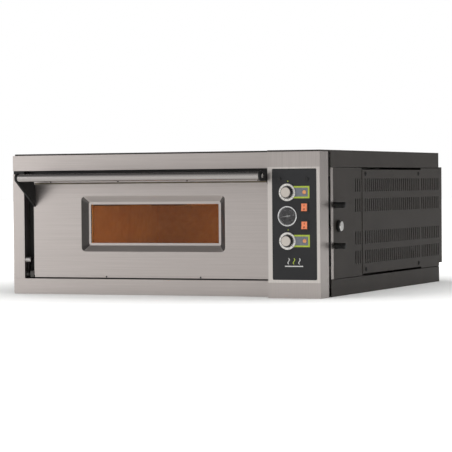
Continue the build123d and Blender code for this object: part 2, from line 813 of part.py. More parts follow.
def glass_spacer():
    """Frame that holds the two panes apart."""
    y = (glass_y + glass_thickness, door_back - steel_sheet - glass_thickness)
    frame = window_opening(glass_width, glass_height, y)
    return frame - window_opening(view_width, view_height, (y[0] - 1, y[1] + 1))


def hinge_block_spans():
    """The two hinge blocks' limits along X, inside the pan."""
    inner_left = door_left + steel_sheet
    inner_right = door_right - steel_sheet
    return [(inner_left, inner_left + hinge_block_length), (inner_right - hinge_block_length, inner_right)]


def hinge_blocks():
    """Steel bushes welded inside the pan to hold the hinge pins."""
    blocks = []
    for start, end in hinge_block_spans():
        bush = rod_x(hinge_y, hinge_height, hinge_block_radius, (start, end))
        blocks.append(bush - rod_x(hinge_y, hinge_height, hinge_pin_radius, (start - 1, end + 1)))
    return blocks


def hinge_pins():
    """Pins that the door turns on, fixed in the door's blocks."""
    spans = hinge_block_spans()
    left_end = left + post_width + 1
    right_end = column_left + steel_sheet + casing_sheet + bearing_length
    left_pin = rod_x(hinge_y, hinge_height, hinge_pin_radius, (left_end, spans[0][1]))
    right_pin = rod_x(hinge_y, hinge_height, hinge_pin_radius, (spans[1][0], right_end))
    return [left_pin, right_pin]


def hinge_bearings():
    """Bearing blocks on the casing: the left one in the recess, the right one inside the column."""
    height = (hinge_height - 9.0, hinge_height + 9.0)
    right_start = column_left + steel_sheet + casing_sheet
    depth_left = (hinge_y - 8.0, surround_y)
    depth_right = (hinge_y - 8.0, hinge_y + 8.0)
    left_x = (door_left - bearing_washer - bearing_length, door_left - bearing_washer)
    bore_radius = hinge_pin_radius + running_fit
    blocks = []
    for x, y in ((left_x, depth_left), ((right_start, right_start + bearing_length), depth_right)):
        bearing = block(x, y, height)
        blocks.append(bearing - rod_x(hinge_y, hinge_height, bore_radius, (x[0] - 1, x[1] + 1)))
    return blocks


def hinge_spring():
    """Envelope of the coil spring round the left hinge pin."""
    start = left + post_width + 1
    coil = rod_x(hinge_y, hinge_height, spring_radius, (start, start + spring_length))
    return coil - rod_x(hinge_y, hinge_height, hinge_pin_radius + 1, (start - 1, start + spring_length + 1))


def spring_anchor():
    """Bright stud on the left post that the spring's leg leans on."""
    start = left + post_width
    return rod_x(hinge_y, anchor_level, anchor_radius, (start, start + anchor_length))


def bracket_outline(rim):
    """Outline of a handle bracket: a round eye on the tube and a straight foot on the door."""
    eye = handle_radius + rim
    top_turn = radians(80)
    low_turn = radians(215)
    top = (handle_y + eye * cos(top_turn), handle_level + eye * sin(top_turn))
    middle = (handle_y - eye, handle_level)
    low = (handle_y + eye * cos(low_turn), handle_level + eye * sin(low_turn))
    return top, middle, low


def handle_brackets():
    """Black end plates that carry the handle: a triangle on the left, an arm with a gusset on the right."""
    top, middle, low = bracket_outline(bracket_rim)
    foot_top = (skin_y, skin_top - 2)
    foot_low = (skin_y, bracket_foot)
    bottom = (handle_y, handle_level - handle_radius - bracket_rim)
    arm_end = (handle_y + bracket_arm, bottom[1])
    triangle = [Line(low, foot_low), ThreePointArc(top, middle, low)]
    arm = [Line(bottom, arm_end), Line(arm_end, foot_low), ThreePointArc(top, middle, bottom)]
    brackets = []
    for x, sides in ((door_left, triangle), (door_right - bracket_thickness, arm)):
        plane = Plane(origin=(x, 0, 0), x_dir=(0, 1, 0), z_dir=(1, 0, 0))
        foot = [Line(foot_low, foot_top), Line(foot_top, top)]
        outline = make_face(Curve() + sides + foot)
        brackets.append(extrude(plane * outline, bracket_thickness))
    return brackets


def handle_bar():
    """Round stainless tube between the brackets."""
    x = (door_left + bracket_thickness, door_right - bracket_thickness)
    bar = rod_x(handle_y, handle_level, handle_radius, x)
    return bar - rod_x(handle_y, handle_level, handle_radius - handle_wall, (x[0] - 1, x[1] + 1))


def handle_plugs():
    """Screwed plugs in the tube's ends."""
    x = (door_left + bracket_thickness, door_right - bracket_thickness)
    inner = handle_radius - handle_wall
    return [rod_x(handle_y, handle_level, inner, span) for span in ((x[0], x[0] + 20), (x[1] - 20, x[1]))]


def handle_screws():
    """Countersunk screws through the brackets into the handle's plugs."""
    screws = []
    for outer, way in ((door_left, -1), (door_right, 1)):
        head = sorted((outer, outer + way * handle_screw_head))
        screws.append(rod_x(handle_y, handle_level, handle_screw_radius, head))
    return screws


# ---------------------------------------------------------------- chamber
def chamber_liner():
    """Folded steel chamber, open at the front, with holes for the elements, the vent and the lamp."""
    outer_x = (chamber_left - liner_sheet, liner_right)
    outer_z = (chamber_floor - liner_sheet, chamber_top + liner_sheet)
    liner = block(outer_x, (surround_back, chamber_back + liner_sheet), outer_z)
    inner_z = (chamber_floor, chamber_top)
    liner -= block((chamber_left, chamber_right), (surround_back - 1, chamber_back), inner_z)
    wall = (chamber_right - 1, liner_right + 1)
    liner -= rod_x(vent_y, vent_level, vent_hole_radius, wall)
    liner -= rod_x(front + light_setback, light_level, light_radius - 2, wall)
    rear = (chamber_back - 1, chamber_back + liner_sheet + 1)
    for level in (lower_element_level, upper_element_level):
        for x in element_end_places():
            liner -= rod_y(x, level, element_radius, rear)
    return liner


def element_run_places():
    """Places along X of a heating element's straight runs."""
    span = chamber_width - 2 * element_margin
    first = chamber_left + element_margin
    return [first + span * index / (element_runs - 1) for index in range(element_runs)]


def heating_element(level):
    """Tubular heater: straight runs joined by rounded bends, with cold ends through the rear wall."""
    near = surround_back + element_margin
    far = chamber_back - element_margin
    end = chamber_back + element_leg
    places = element_run_places()
    points = [(places[0], end, level), (places[0], near, level)]
    for index, x in enumerate(places[1:-1]):
        turns = (near, far) if index % 2 == 0 else (far, near)
        points += [(x, y, level) for y in turns]
    points += [(places[-1], near, level), (places[-1], end, level)]
    path = FilletPolyline(*points, radius=element_bend)
    start = Plane(origin=points[0], z_dir=(0, -1, 0))
    return sweep(start * Circle(element_radius), path=path)


def element_end_places():
    """Places along X of an element's two cold ends."""
    places = element_run_places()
    return [places[0], places[-1]]


def element_rails():
    """Cross bars that carry the lower element and hold up the upper one."""
    rails = []
    x = (chamber_left + ledge_width, chamber_right - ledge_width)
    low = (chamber_floor, lower_element_level - element_radius)
    high = (upper_element_level + element_radius, chamber_top)
    for share in rail_positions:
        y = surround_back + chamber_depth * share
        for z in (low, high):
            rails.append(block(x, (y - rail_width / 2, y + rail_width / 2), z))
    return rails


def element_beads():
    """Ceramic insulators on the elements' cold ends."""
    beads = []
    start = chamber_back + liner_sheet
    for level in (lower_element_level, upper_element_level):
        for x in element_end_places():
            bead = rod_y(x, level, bead_radius, (start, start + bead_length))
            beads.append(bead - rod_y(x, level, element_radius, (start - 1, start + bead_length + 1)))
    return beads


def tile_ledges():
    """Steel angles along the chamber's sides that carry the tiles."""
    y = (surround_back, chamber_back)
    z = (chamber_floor, tile_level)
    sides = ((chamber_left, chamber_left + ledge_width), (chamber_right - ledge_width, chamber_right))
    return [block(x, y, z) for x in sides]


def floor_tiles():
    """Two refractory stone tiles that make the baking surface."""
    z = (tile_level, tile_level + tile_thickness)
    y = (surround_back + tile_gap, chamber_back - tile_gap)
    left_x = (chamber_left + tile_gap, door_middle - tile_gap / 2)
    right_x = (door_middle + tile_gap / 2, chamber_right - tile_gap)
    return [block(x, y, z) for x in (left_x, right_x)]


def tile_bearer():
    """Middle bar under the joint of the tiles, between the element's runs, on the lower cross bars."""
    y = (surround_back + element_margin + element_bend, chamber_back - element_margin)
    z = (lower_element_level - element_radius, tile_level)
    return block((door_middle - rail_width / 2, door_middle + rail_width / 2), y, z)


def insulation_upper():
    """Mineral wool above the chamber."""
    x = (chamber_left - liner_sheet - insulation_side, column_left)
    base = chamber_top + liner_sheet
    return block(x, (surround_back, chamber_back + liner_sheet), (base, base + insulation_top))


def insulation_lower():
    """Mineral wool below the chamber, on the cradle."""
    x = (chamber_left - liner_sheet - insulation_side, column_left)
    z = (insulation_floor, chamber_floor - liner_sheet)
    return block(x, (surround_back, chamber_back + liner_sheet), z)


def insulation_left():
    """Mineral wool beside the chamber on the left."""
    x = (chamber_left - liner_sheet - insulation_side, chamber_left - liner_sheet)
    z = (chamber_floor - liner_sheet, chamber_top + liner_sheet)
    return block(x, (surround_back, chamber_back + liner_sheet), z)


def insulation_right():
    """Mineral wool beside the chamber on the right, above and below the vent duct."""
    x = (liner_right, column_left)
    y = (surround_back, chamber_back + liner_sheet)
    duct = duct_limits()[1]
    below = block(x, y, (chamber_floor - liner_sheet, duct[0]))
    above = block(x, y, (duct[1], chamber_top + liner_sheet))
    above -= rod_x(front + light_setback, light_level, light_radius, (liner_right - 1, column_left + 1))
    return [below, above]


def insulation_back():
    """Mineral wool behind the chamber, cut out for the elements' ends."""
    x = (chamber_left - liner_sheet - insulation_side, liner_right)
    start = chamber_back + liner_sheet
    z = (insulation_floor, chamber_top + liner_sheet + insulation_top)
    slab = block(x, (start, start + insulation_rear), z)
    for level in (lower_element_level, upper_element_level):
        for place in element_end_places():
            slab -= rod_y(place, level, bead_radius + 1, (start - 1, start + insulation_rear + 1))
    return slab


def chamber_cradle():
    """Two steel channels on the tray that carry the chamber and its wool."""
    runners = []
    y_front = surround_back
    y_back = chamber_back + liner_sheet + insulation_rear
    for share in (0.2, 0.8):
        x = chamber_left + chamber_width * share
        z = (casing_sheet, casing_sheet + cradle_height)
        runner = block((x - cradle_width / 2, x + cradle_width / 2), (y_front, y_back), z)
        inner_x = (x - cradle_width / 2 + casing_sheet, x + cradle_width / 2 - casing_sheet)
        runners.append(runner - block(inner_x, (y_front - 1, y_back + 1), (z[0] - 1, z[1] - casing_sheet)))
    return runners


def divider_panel():
    """Sheet between the hot side and the electrical side."""
    x = (column_left, column_left + casing_sheet)
    wall = block(x, (surround_y, back - 2 * casing_sheet), (casing_sheet, body_height - casing_sheet))
    hole = (x[0] - 1, x[1] + 1)
    wall -= rod_x(vent_y, vent_level, vent_rod_radius + 1, hole)
    return wall - rod_x(front + light_setback, light_level, light_radius / 2, hole)


def light_can():
    """Lamp holder in the chamber's right wall."""
    y = front + light_setback
    can = rod_x(y, light_level, light_radius, (liner_right, liner_right + light_can_length))
    hollow = (liner_right - 1, liner_right + light_can_length - steel_sheet)
    return can - rod_x(y, light_level, light_radius - 2, hollow)


def light_lens():
    """Heat-proof glass cap of the chamber lamp."""
    y = front + light_setback
    lens = rod_x(y, light_level, light_radius - 2, (chamber_right - lens_depth, liner_right + liner_sheet))
    lens = fillet(lens.edges().sort_by(Axis.X)[0], lens_depth / 2)
    hollow = (chamber_right - lens_depth / 2, liner_right + liner_sheet + 1)
    return lens - rod_x(y, light_level, light_radius - 5, hollow)


def light_bulb():
    """Small bulb inside the lamp holder."""
    y = front + light_setback
    x = (liner_right + 4, liner_right + light_can_length - steel_sheet)
    return rod_x(y, light_level, light_radius - 8, x)


# ---------------------------------------------------------------- steam vent
def duct_limits():
    """The vent duct's limits along X and Z."""
    x = (liner_right, liner_right + duct_width)
    return x, (vent_level - duct_height / 2, vent_level + duct_height / 2)


def steam_duct():
    """Duct from the chamber's side vent to the rear outlet, closed at its front end."""
    x, z = duct_limits()
    duct = block(x, (surround_back, back), z)
    inner_x = (x[0] + duct_sheet, x[1] - duct_sheet)
    inner_z = (z[0] + duct_sheet, z[1] - duct_sheet)
    duct -= block(inner_x, (surround_back + duct_sheet, back + 1), inner_z)
    duct -= rod_x(vent_y, vent_level, vent_hole_radius, (x[0] - 1, x[0] + duct_sheet + 1))
    return duct - rod_x(vent_y, vent_level, vent_rod_radius + running_fit, (x[1] - duct_sheet - 1, x[1] + 1))


def steam_outlet():
    """Round spigot on the rear cover for a flue hose."""
    x = sum(duct_limits()[0]) / 2
    face = back + rear_box_depth
    spigot = rod_y(x, vent_level, outlet_flange, (face, face + outlet_wall))
    spigot += rod_y(x, vent_level, outlet_radius, (face, face + outlet_length))
    return spigot - rod_y(x, vent_level, outlet_radius - outlet_wall, (face - 1, face + outlet_length + 1))


def vent_rod():
    """Pull rod with the disc that closes the chamber's vent hole from inside the duct."""
    start = liner_right + duct_sheet + plug_seat_gap
    rod = rod_x(vent_y, vent_level, vent_rod_radius, (start, right + plug_seat_gap + vent_knob_height / 2))
    return rod + rod_x(vent_y, vent_level, plug_radius, (start, start + plug_thickness))


def vent_knob():
    """Black round knob on the pull rod."""
    start = right + plug_seat_gap
    knob = rod_x(vent_y, vent_level, vent_knob_radius, (start, start + vent_knob_height))
    knob = fillet(knob.edges().sort_by(Axis.X)[-1], vent_cap_height / 2)
    return knob - rod_x(vent_y, vent_level, vent_rod_radius, (start - 1, start + vent_knob_height / 2))


def vent_knob_cap():
    """Bright domed cap on the knob."""
    start = right + plug_seat_gap + vent_knob_height
    cap = rod_x(vent_y, vent_level, vent_cap_radius, (start, start + vent_cap_height))
    return fillet(cap.edges().sort_by(Axis.X)[-1], vent_cap_height * 0.8)


# ---------------------------------------------------------------- electrics
def component_limits():
    x = column_left + casing_sheet
    y = front + plate_setback
    return x, y


def component_plate():
    """Mounting plate for the electrical parts, against the divider."""
    x, y = component_limits()
    return block((x, x + plate_sheet), (y, y + plate_length), (plate_bottom, plate_top))


def contactors():
    """Two contactors that switch the elements."""
    x, y = component_limits()
    size_x, size_y, size_z = contactor_size
    contactor_x = (x + plate_sheet, x + plate_sheet + size_x)
    middle = (plate_bottom + plate_top) / 2
    parts = []
    for index in range(2):
        start_y = y + 40 + index * (size_y + 20)
        parts.append(block(contactor_x, (start_y, start_y + size_y), (middle, middle + size_z)))
    return parts


def terminal_block():
    """Terminal block for the supply cable."""
    x, y = component_limits()
    size_x, size_y, size_z = terminal_size
    end_y = y + plate_length - 20
    start_x = x + plate_sheet
    start_z = plate_bottom + 15
    return block((start_x, start_x + size_x), (end_y - size_y, end_y), (start_z, start_z + size_z))


def cable_gland():
    """Gland for the supply cable, through the rear cover."""
    x = right - gland_offset
    face = back + rear_box_depth
    gland = rod_y(x, gland_level, gland_radius, (face - gland_length, face + gland_nut_length + 4))
    gland += rod_y(x, gland_level, gland_nut, (face, face + gland_nut_length))
    return gland - rod_y(x, gland_level, gland_bore, (face - gland_length - 1, face + gland_nut_length + 5))


# ---------------------------------------------------------------- the assembly
pieces = {
    "base_tray": [base_tray()],
    "roof_cover": [roof_cover()],
    "column_cap": [column_cap()],
    "left_side_panel": [left_side_panel()],
    "right_side_front": [right_side_front()],
    "right_side_cover": [right_side_cover()],
    "right_side_rear": [right_side_rear()],
    "cover_screws": cover_screws(),
    "side_buffers": side_buffers(),
    "back_panel": [back_panel()],
    "rear_cover": [rear_cover()],
    "corner_strips": corner_strips(),
    "top_fascia": [top_fascia()],
    "bottom_fascia": [bottom_fascia()],
    "left_post": [left_post()],
    "door_surround": [door_surround()],
    "door_gasket": [door_gasket()],
    "control_column": [control_column()],
    "column_spacer": [column_spacer()],
    "control_panel": [control_panel()],
    "reset_caps": reset_caps(),
    "thermostats": [thermostat(upper_dial_level), thermostat(lower_dial_level)] + safety_thermostats(),
    "pilot_lamps": pilot_lamps(),
    "gauge_case": [gauge_case()],
    "gauge_face": [gauge_face()],
    "gauge_glass": [gauge_glass()],
    "gauge_needle": [gauge_needle()],
    "switch_bodies": [switch_body(upper_switch_level), switch_body(lower_switch_level)],
    "upper_rocker": [rocker(upper_switch_level)],
    "lower_rocker": [rocker(lower_switch_level)],
    "door_skin": [door_skin()],
    "door_pan": [door_pan()],
    "door_insulation": [door_insulation()],
    "door_glasses": [outer_glass(), inner_glass()],
    "glass_spacer": [glass_spacer()],
    "hinge_pins": hinge_pins() + hinge_blocks(),
    "hinge_bearings": hinge_bearings(),
    "hinge_spring": [hinge_spring(), spring_anchor()],
    "handle_brackets": handle_brackets(),
    "handle_bar": [handle_bar()],
    "handle_fixings": handle_plugs() + handle_screws(),
    "chamber_liner": [chamber_liner()],
    "heating_elements": [heating_element(lower_element_level), heating_element(upper_element_level)],
    "element_beads": element_beads(),
    "tile_supports": element_rails() + tile_ledges() + [tile_bearer()],
    "floor_tiles": floor_tiles(),
    "insulation": [insulation_upper(), insulation_lower(), insulation_left(), insulation_back(),
                   *insulation_right()],
    "chamber_cradle": chamber_cradle(),
    "divider_panel": [divider_panel()],
    "chamber_lamp": [light_can(), light_bulb()],
    "lamp_lens": [light_lens()],
    "steam_duct": [steam_duct(), steam_outlet()],
    "vent_rod": [vent_rod(), vent_knob_cap()],
    "vent_knob": [vent_knob()],
    "switchgear": [component_plate(), terminal_block()] + contactors(),
    "cable_gland": [cable_gland()],
}

for position, level in (("upper", upper_dial_level), ("lower", lower_dial_level)):
    pieces[f"{position}_dial"] = [knob_dial(level), knob_cap(level)]
    pieces[f"{position}_knob"] = [knob_grip(level), knob_spindle(level)]

os.makedirs("parts", exist_ok=True)
for name, solids in pieces.items():
    shape = Compound([solid for piece in solids for solid in piece.solids()])
    export_step(shape, f"parts/{name}.step")
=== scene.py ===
import json
from math import cos, pi, radians, sin

import bmesh
import bpy
from mathutils import Matrix, Vector


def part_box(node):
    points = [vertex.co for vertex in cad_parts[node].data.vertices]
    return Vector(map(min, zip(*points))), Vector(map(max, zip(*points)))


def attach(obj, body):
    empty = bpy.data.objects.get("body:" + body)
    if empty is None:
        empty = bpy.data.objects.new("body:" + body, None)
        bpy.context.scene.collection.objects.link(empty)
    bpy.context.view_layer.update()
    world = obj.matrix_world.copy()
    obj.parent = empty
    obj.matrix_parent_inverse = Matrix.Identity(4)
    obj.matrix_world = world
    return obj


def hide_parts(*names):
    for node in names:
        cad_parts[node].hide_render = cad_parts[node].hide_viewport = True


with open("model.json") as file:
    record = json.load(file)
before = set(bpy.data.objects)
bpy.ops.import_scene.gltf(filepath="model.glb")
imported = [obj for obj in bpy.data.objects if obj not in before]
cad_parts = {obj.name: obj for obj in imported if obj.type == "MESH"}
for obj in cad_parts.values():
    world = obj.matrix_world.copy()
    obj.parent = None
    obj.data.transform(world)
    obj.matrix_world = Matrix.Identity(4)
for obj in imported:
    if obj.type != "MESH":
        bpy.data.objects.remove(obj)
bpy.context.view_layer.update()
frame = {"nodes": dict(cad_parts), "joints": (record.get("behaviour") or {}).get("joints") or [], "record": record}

mm = 0.001

# ------------------------------------------------------------------ studio
# A pale floor that runs on into a white surround, and a long-lens camera low in front of the
# oven and off to its right. The light is soft and strongest at the front left. Dark and bright
# patches in the surround give the steel something to mirror.
bpy.ops.object.select_all(action="DESELECT")
bpy.ops.mesh.primitive_plane_add(size=60)
floor = bpy.context.object
floor.name = "floor"

floor_paint = bpy.data.materials.new("floor_paint")
floor_paint.use_nodes = True
floor_shader = floor_paint.node_tree.nodes["Principled BSDF"]
floor_shader.inputs["Base Color"].default_value = (0.93, 0.93, 0.92, 1)
floor_shader.inputs["Roughness"].default_value = 0.9
floor_shader.inputs["Specular IOR Level"].default_value = 0.0
floor_tree = floor_paint.node_tree
floor_place = floor_tree.nodes.new("ShaderNodeTexCoord")
away = floor_tree.nodes.new("ShaderNodeVectorMath")
away.operation = "LENGTH"
floor_tree.links.new(floor_place.outputs["Object"], away.inputs[0])
fade = floor_tree.nodes.new("ShaderNodeMapRange")
for key, number in (("From Min", 0.7), ("From Max", 2.6), ("To Min", 0.0), ("To Max", 1.0)):
    fade.inputs[key].default_value = number
floor_tree.links.new(away.outputs["Value"], fade.inputs["Value"])
looked_at = floor_tree.nodes.new("ShaderNodeLightPath")
glow = floor_tree.nodes.new("ShaderNodeMath")
glow.operation = "MULTIPLY"
floor_tree.links.new(fade.outputs["Result"], glow.inputs[0])
floor_tree.links.new(looked_at.outputs["Is Camera Ray"], glow.inputs[1])
floor_tree.links.new(glow.outputs["Value"], floor_shader.inputs["Emission Strength"])
floor_shader.inputs["Emission Color"].default_value = (1, 1, 1, 1)
floor.data.materials.append(floor_paint)

camera_data = bpy.data.cameras.new("camera")
camera_data.sensor_width = 36
camera_data.lens = 174.2
camera_data.clip_end = 100
camera = bpy.data.objects.new("camera", camera_data)
bpy.context.scene.collection.objects.link(camera)
turn = Matrix.Rotation(0.4023, 4, "Z") @ Matrix.Rotation(pi / 2 - 0.0198, 4, "X")
camera.matrix_world = Matrix.Translation((2.6257, -6.2460, 0.3236)) @ turn @ Matrix.Rotation(-0.0091, 4, "Z")
bpy.context.scene.camera = camera
bpy.context.scene.view_settings.view_transform = "Standard"

world = bpy.data.worlds.new("studio")
bpy.context.scene.world = world
world.use_nodes = True
sky = world.node_tree
surround = sky.nodes["Background"]
direction = sky.nodes.new("ShaderNodeTexCoord")
toward = sky.nodes.new("ShaderNodeVectorMath")
toward.operation = "DOT_PRODUCT"
toward.inputs[1].default_value = (-0.45, -0.88, -0.1)
sky.links.new(direction.outputs["Generated"], toward.inputs[0])
fall_off = sky.nodes.new("ShaderNodeMapRange")
for key, number in (("From Min", 0.55), ("From Max", 1.0), ("To Min", 0.24), ("To Max", 0.86)):
    fall_off.inputs[key].default_value = number
sky.links.new(toward.outputs["Value"], fall_off.inputs["Value"])


def patch_of_sky(strength, way, start, factor):
    """Multiplies the sky's strength by a factor round one direction."""
    along = sky.nodes.new("ShaderNodeVectorMath")
    along.operation = "DOT_PRODUCT"
    along.inputs[1].default_value = Vector(way).normalized()
    sky.links.new(direction.outputs["Generated"], along.inputs[0])
    share = sky.nodes.new("ShaderNodeMapRange")
    for key, number in (("From Min", start), ("From Max", start + 0.07), ("To Min", 1), ("To Max", factor)):
        share.inputs[key].default_value = number
    sky.links.new(along.outputs["Value"], share.inputs["Value"])
    product = sky.nodes.new("ShaderNodeMath")
    product.operation = "MULTIPLY"
    sky.links.new(strength, product.inputs[0])
    sky.links.new(share.outputs["Result"], product.inputs[1])
    return product.outputs["Value"]


strength = fall_off.outputs["Result"]
strength = patch_of_sky(strength, (0.75, -0.66, 0), 0.9, 0.08)
strength = patch_of_sky(strength, (0, 0.5, 0.87), 0.75, 0.3)
strength = patch_of_sky(strength, (0.39, 0.92, 0), 0.85, 1.7)
seen = sky.nodes.new("ShaderNodeLightPath")
brightest = sky.nodes.new("ShaderNodeMath")
brightest.operation = "MAXIMUM"
sky.links.new(seen.outputs["Is Camera Ray"], brightest.inputs[0])
sky.links.new(strength, brightest.inputs[1])
sky.links.new(brightest.outputs["Value"], surround.inputs["Strength"])
surround.inputs["Color"].default_value = (1, 1, 1, 1)


def softbox(name, place, aim, size, power, tint=(1, 1, 1)):
    """A square studio light that looks at a point."""
    data = bpy.data.lights.new(name, "AREA")
    data.size = size
    data.energy = power
    data.color = tint
    light = bpy.data.objects.new(name, data)
    bpy.context.scene.collection.objects.link(light)
    way = Vector(aim) - Vector(place)
    light.matrix_world = Matrix.Translation(place) @ way.to_track_quat("-Z", "Y").to_matrix().to_4x4()
    return light


softbox("front_left", (-2.2, -2.6, 0.7), (-0.4, -0.5, 0.2), 1.2, 6)
softbox("overhead", (0, 0, 6), (0, 0, 0), 12.0, 620).visible_glossy = False


# ------------------------------------------------------------------ stainless front
# Fascias and left post: brushed stainless sheet, 1.2 mm thick, folded on a press brake, so
# that each fold has a small radius. The grain runs along each sheet's length.
def shader(name):
    """A new material with its node tree and its main shader."""
    material = bpy.data.materials.new(name)
    material.use_nodes = True
    tree = material.node_tree
    return material, tree, tree.nodes["Principled BSDF"]


def stretched(tree, scale):
    """Object coordinates, each axis multiplied by its own scale."""
    coordinates = tree.nodes.new("ShaderNodeTexCoord")
    mapping = tree.nodes.new("ShaderNodeMapping")
    mapping.inputs["Scale"].default_value = scale
    tree.links.new(coordinates.outputs["Object"], mapping.inputs["Vector"])
    return mapping.outputs["Vector"]


def noise(tree, scale, detail=4, roughness=0.5):
    """Noise with so many cells per metre, one number or one for each axis."""
    texture = tree.nodes.new("ShaderNodeTexNoise")
    texture.inputs["Scale"].default_value = 1
    texture.inputs["Detail"].default_value = detail
    texture.inputs["Roughness"].default_value = roughness
    scale = scale if isinstance(scale, tuple) else (scale, scale, scale)
    tree.links.new(stretched(tree, scale), texture.inputs["Vector"])
    return texture.outputs["Fac"]


def spread(tree, value, low, high, start=0.35, end=0.65):
    """A grey value's start..end stretched to low..high."""
    node = tree.nodes.new("ShaderNodeMapRange")
    for key, number in (("From Min", start), ("From Max", end), ("To Min", low), ("To Max", high)):
        node.inputs[key].default_value = number
    tree.links.new(value, node.inputs["Value"])
    return node.outputs["Result"]


def mixed(tree, factor, first, second):
    """A colour between two colours or colour sockets, by a grey value."""
    node = tree.nodes.new("ShaderNodeMix")
    node.data_type = "RGBA"
    for socket, colour in ((6, first), (7, second)):
        if isinstance(colour, tuple):
            node.inputs[socket].default_value = (*colour, 1)
        else:
            tree.links.new(colour, node.inputs[socket])
    tree.links.new(factor, node.inputs["Factor"])
    return node.outputs[2]


def relief(tree, main, height, strength, depth=0.0003):
    """Fine relief from a grey value."""
    node = tree.nodes.new("ShaderNodeBump")
    node.inputs["Strength"].default_value = strength
    node.inputs["Distance"].default_value = depth
    tree.links.new(height, node.inputs["Height"])
    tree.links.new(node.outputs["Normal"], main.inputs["Normal"])


def metal(name, light, dark, grain, rough, strength=0.15):
    """Bare metal whose grain has so many cells per metre along X, Y and Z."""
    material, tree, main = shader(name)
    fine = noise(tree, grain, 5, 0.7)
    cloud = noise(tree, 4.0, 3)
    brushed = mixed(tree, spread(tree, fine, 0, 1), dark, light)
    dull = tuple(0.9 * value for value in light)
    tree.links.new(mixed(tree, spread(tree, cloud, 0, 0.35), brushed, dull), main.inputs["Base Color"])
    tree.links.new(spread(tree, fine, rough - 0.04, rough + 0.06), main.inputs["Roughness"])
    main.inputs["Metallic"].default_value = 1
    relief(tree, main, fine, strength)
    return material


steel_across = metal("brushed_steel_across", (0.54, 0.493, 0.472), (0.45, 0.41, 0.39), (4, 700, 700), 0.34)
steel_upright = metal("brushed_steel_upright", (0.54, 0.493, 0.472), (0.45, 0.41, 0.39), (700, 700, 4), 0.34)


def only(piece):
    """Leaves edit mode and makes a piece the only selected one."""
    if bpy.context.object and bpy.context.object.mode != "OBJECT":
        bpy.ops.object.mode_set(mode="OBJECT")
    bpy.ops.object.select_all(action="DESELECT")
    piece.select_set(True)
    bpy.context.view_layer.objects.active = piece


def nothing_selected():
    """Leaves edit mode and deselects everything."""
    if bpy.context.object and bpy.context.object.mode != "OBJECT":
        bpy.ops.object.mode_set(mode="OBJECT")
    bpy.ops.object.select_all(action="DESELECT")


def settled(piece, name, place=Matrix.Identity(4)):
    """Names a piece and puts its own place, and one more, into its mesh."""
    only(piece)
    piece.matrix_world = place @ piece.matrix_world
    bpy.ops.object.transform_apply(location=True, rotation=True, scale=True)
    piece.name = name
    piece.data.name = name
    return piece


def rounded(piece, radius, steps=2, angle=30):
    """Rounds a piece's sharp edges and shades it smooth, with its flat faces kept flat."""
    only(piece)
    bevel = piece.modifiers.new("edges", "BEVEL")
    bevel.width = radius
    bevel.segments = steps
    bevel.limit_method = "ANGLE"
    bevel.angle_limit = radians(angle)
    bevel.harden_normals = False
    bpy.ops.object.modifier_apply(modifier=bevel.name)
    bpy.ops.object.shade_smooth_by_angle(angle=radians(angle))
    flat = piece.modifiers.new("flat_faces", "WEIGHTED_NORMAL")
    flat.keep_sharp = True
    bpy.ops.object.modifier_apply(modifier=flat.name)
    return piece


def edit_where(piece, kind, test):
    """Opens a piece in edit mode with the verts, edges or faces that pass a test selected."""
    only(piece)
    bpy.ops.object.mode_set(mode="EDIT")
    bpy.ops.mesh.select_mode(type={"verts": "VERT", "edges": "EDGE", "faces": "FACE"}[kind])
    bpy.ops.mesh.select_all(action="DESELECT")
    mesh = bmesh.from_edit_mesh(piece.data)
    for item in getattr(mesh, kind):
        item.select_set(bool(test(item)))
    mesh.select_flush_mode()
    bmesh.update_edit_mesh(piece.data)


def sheet_copy(node, radius, steps=2, angle=30):
    """A copy of a CAD node with clean flat faces and its edges rounded."""
    source = frame["nodes"][node]
    piece = source.copy()
    piece.data = source.data.copy()
    bpy.context.scene.collection.objects.link(piece)
    piece.parent = None
    piece.matrix_world = source.matrix_world.copy()
    settled(piece, node + "_finished")
    edit_where(piece, "verts", lambda vertex: True)
    bpy.ops.mesh.remove_doubles(threshold=0.00001)
    bpy.ops.mesh.dissolve_limited(angle_limit=radians(0.5))
    bpy.ops.object.mode_set(mode="OBJECT")
    return rounded(piece, radius, steps, angle) if radius else piece


def body_of(node):
    """The CAD body that a node belongs to."""
    for name, nodes in frame["record"]["behaviour"]["bodies"].items():
        if node in nodes:
            return name


def finish(piece, material, node, *more):
    """Gives a piece its material, and the body and the place of the CAD nodes it stands for."""
    piece.data.materials.clear()
    piece.data.materials.append(material)
    for polygon in piece.data.polygons:
        polygon.material_index = 0
    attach(piece, body_of(node))
    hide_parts(node, *more)
    return piece


def add_on(piece, material, body):
    """Gives a piece that stands for no CAD node its material and body."""
    piece.data.materials.clear()
    piece.data.materials.append(material)
    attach(piece, body)
    return piece


def paint(material, *nodes):
    """Gives CAD nodes a material."""
    for node in nodes:
        part = frame["nodes"][node]
        if not part.material_slots:
            part.data.materials.append(material)
        for material_slot in part.material_slots:
            material_slot.material = material


finish(sheet_copy("top_fascia", 0.5 * mm), steel_across, "top_fascia")
finish(sheet_copy("bottom_fascia", 0.5 * mm), steel_across, "bottom_fascia")
finish(sheet_copy("left_post", 0.5 * mm), steel_upright, "left_post")
finish(sheet_copy("corner_strips", 0.4 * mm), steel_upright, "corner_strips")

# ------------------------------------------------------------------ control column
# A folded stainless box with soft vertical folds. A thin frame runs round the black plate in a lighter
# copy of the box's steel, a painted highlight, and a near-black spacer, painted shade, sets the box off
# from the casing.
finish(sheet_copy("control_column", 0.6 * mm, 3), steel_upright, "control_column")

column_low, column_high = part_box("control_column")
plate_low, plate_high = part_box("control_panel")
# The rim is the column's own stainless; its lighter colour is a painted highlight.
rim_painted_highlight_steel = metal("bright_rim_steel", (0.74, 0.69, 0.655), (0.62, 0.58, 0.55), (700, 700, 4), 0.36)


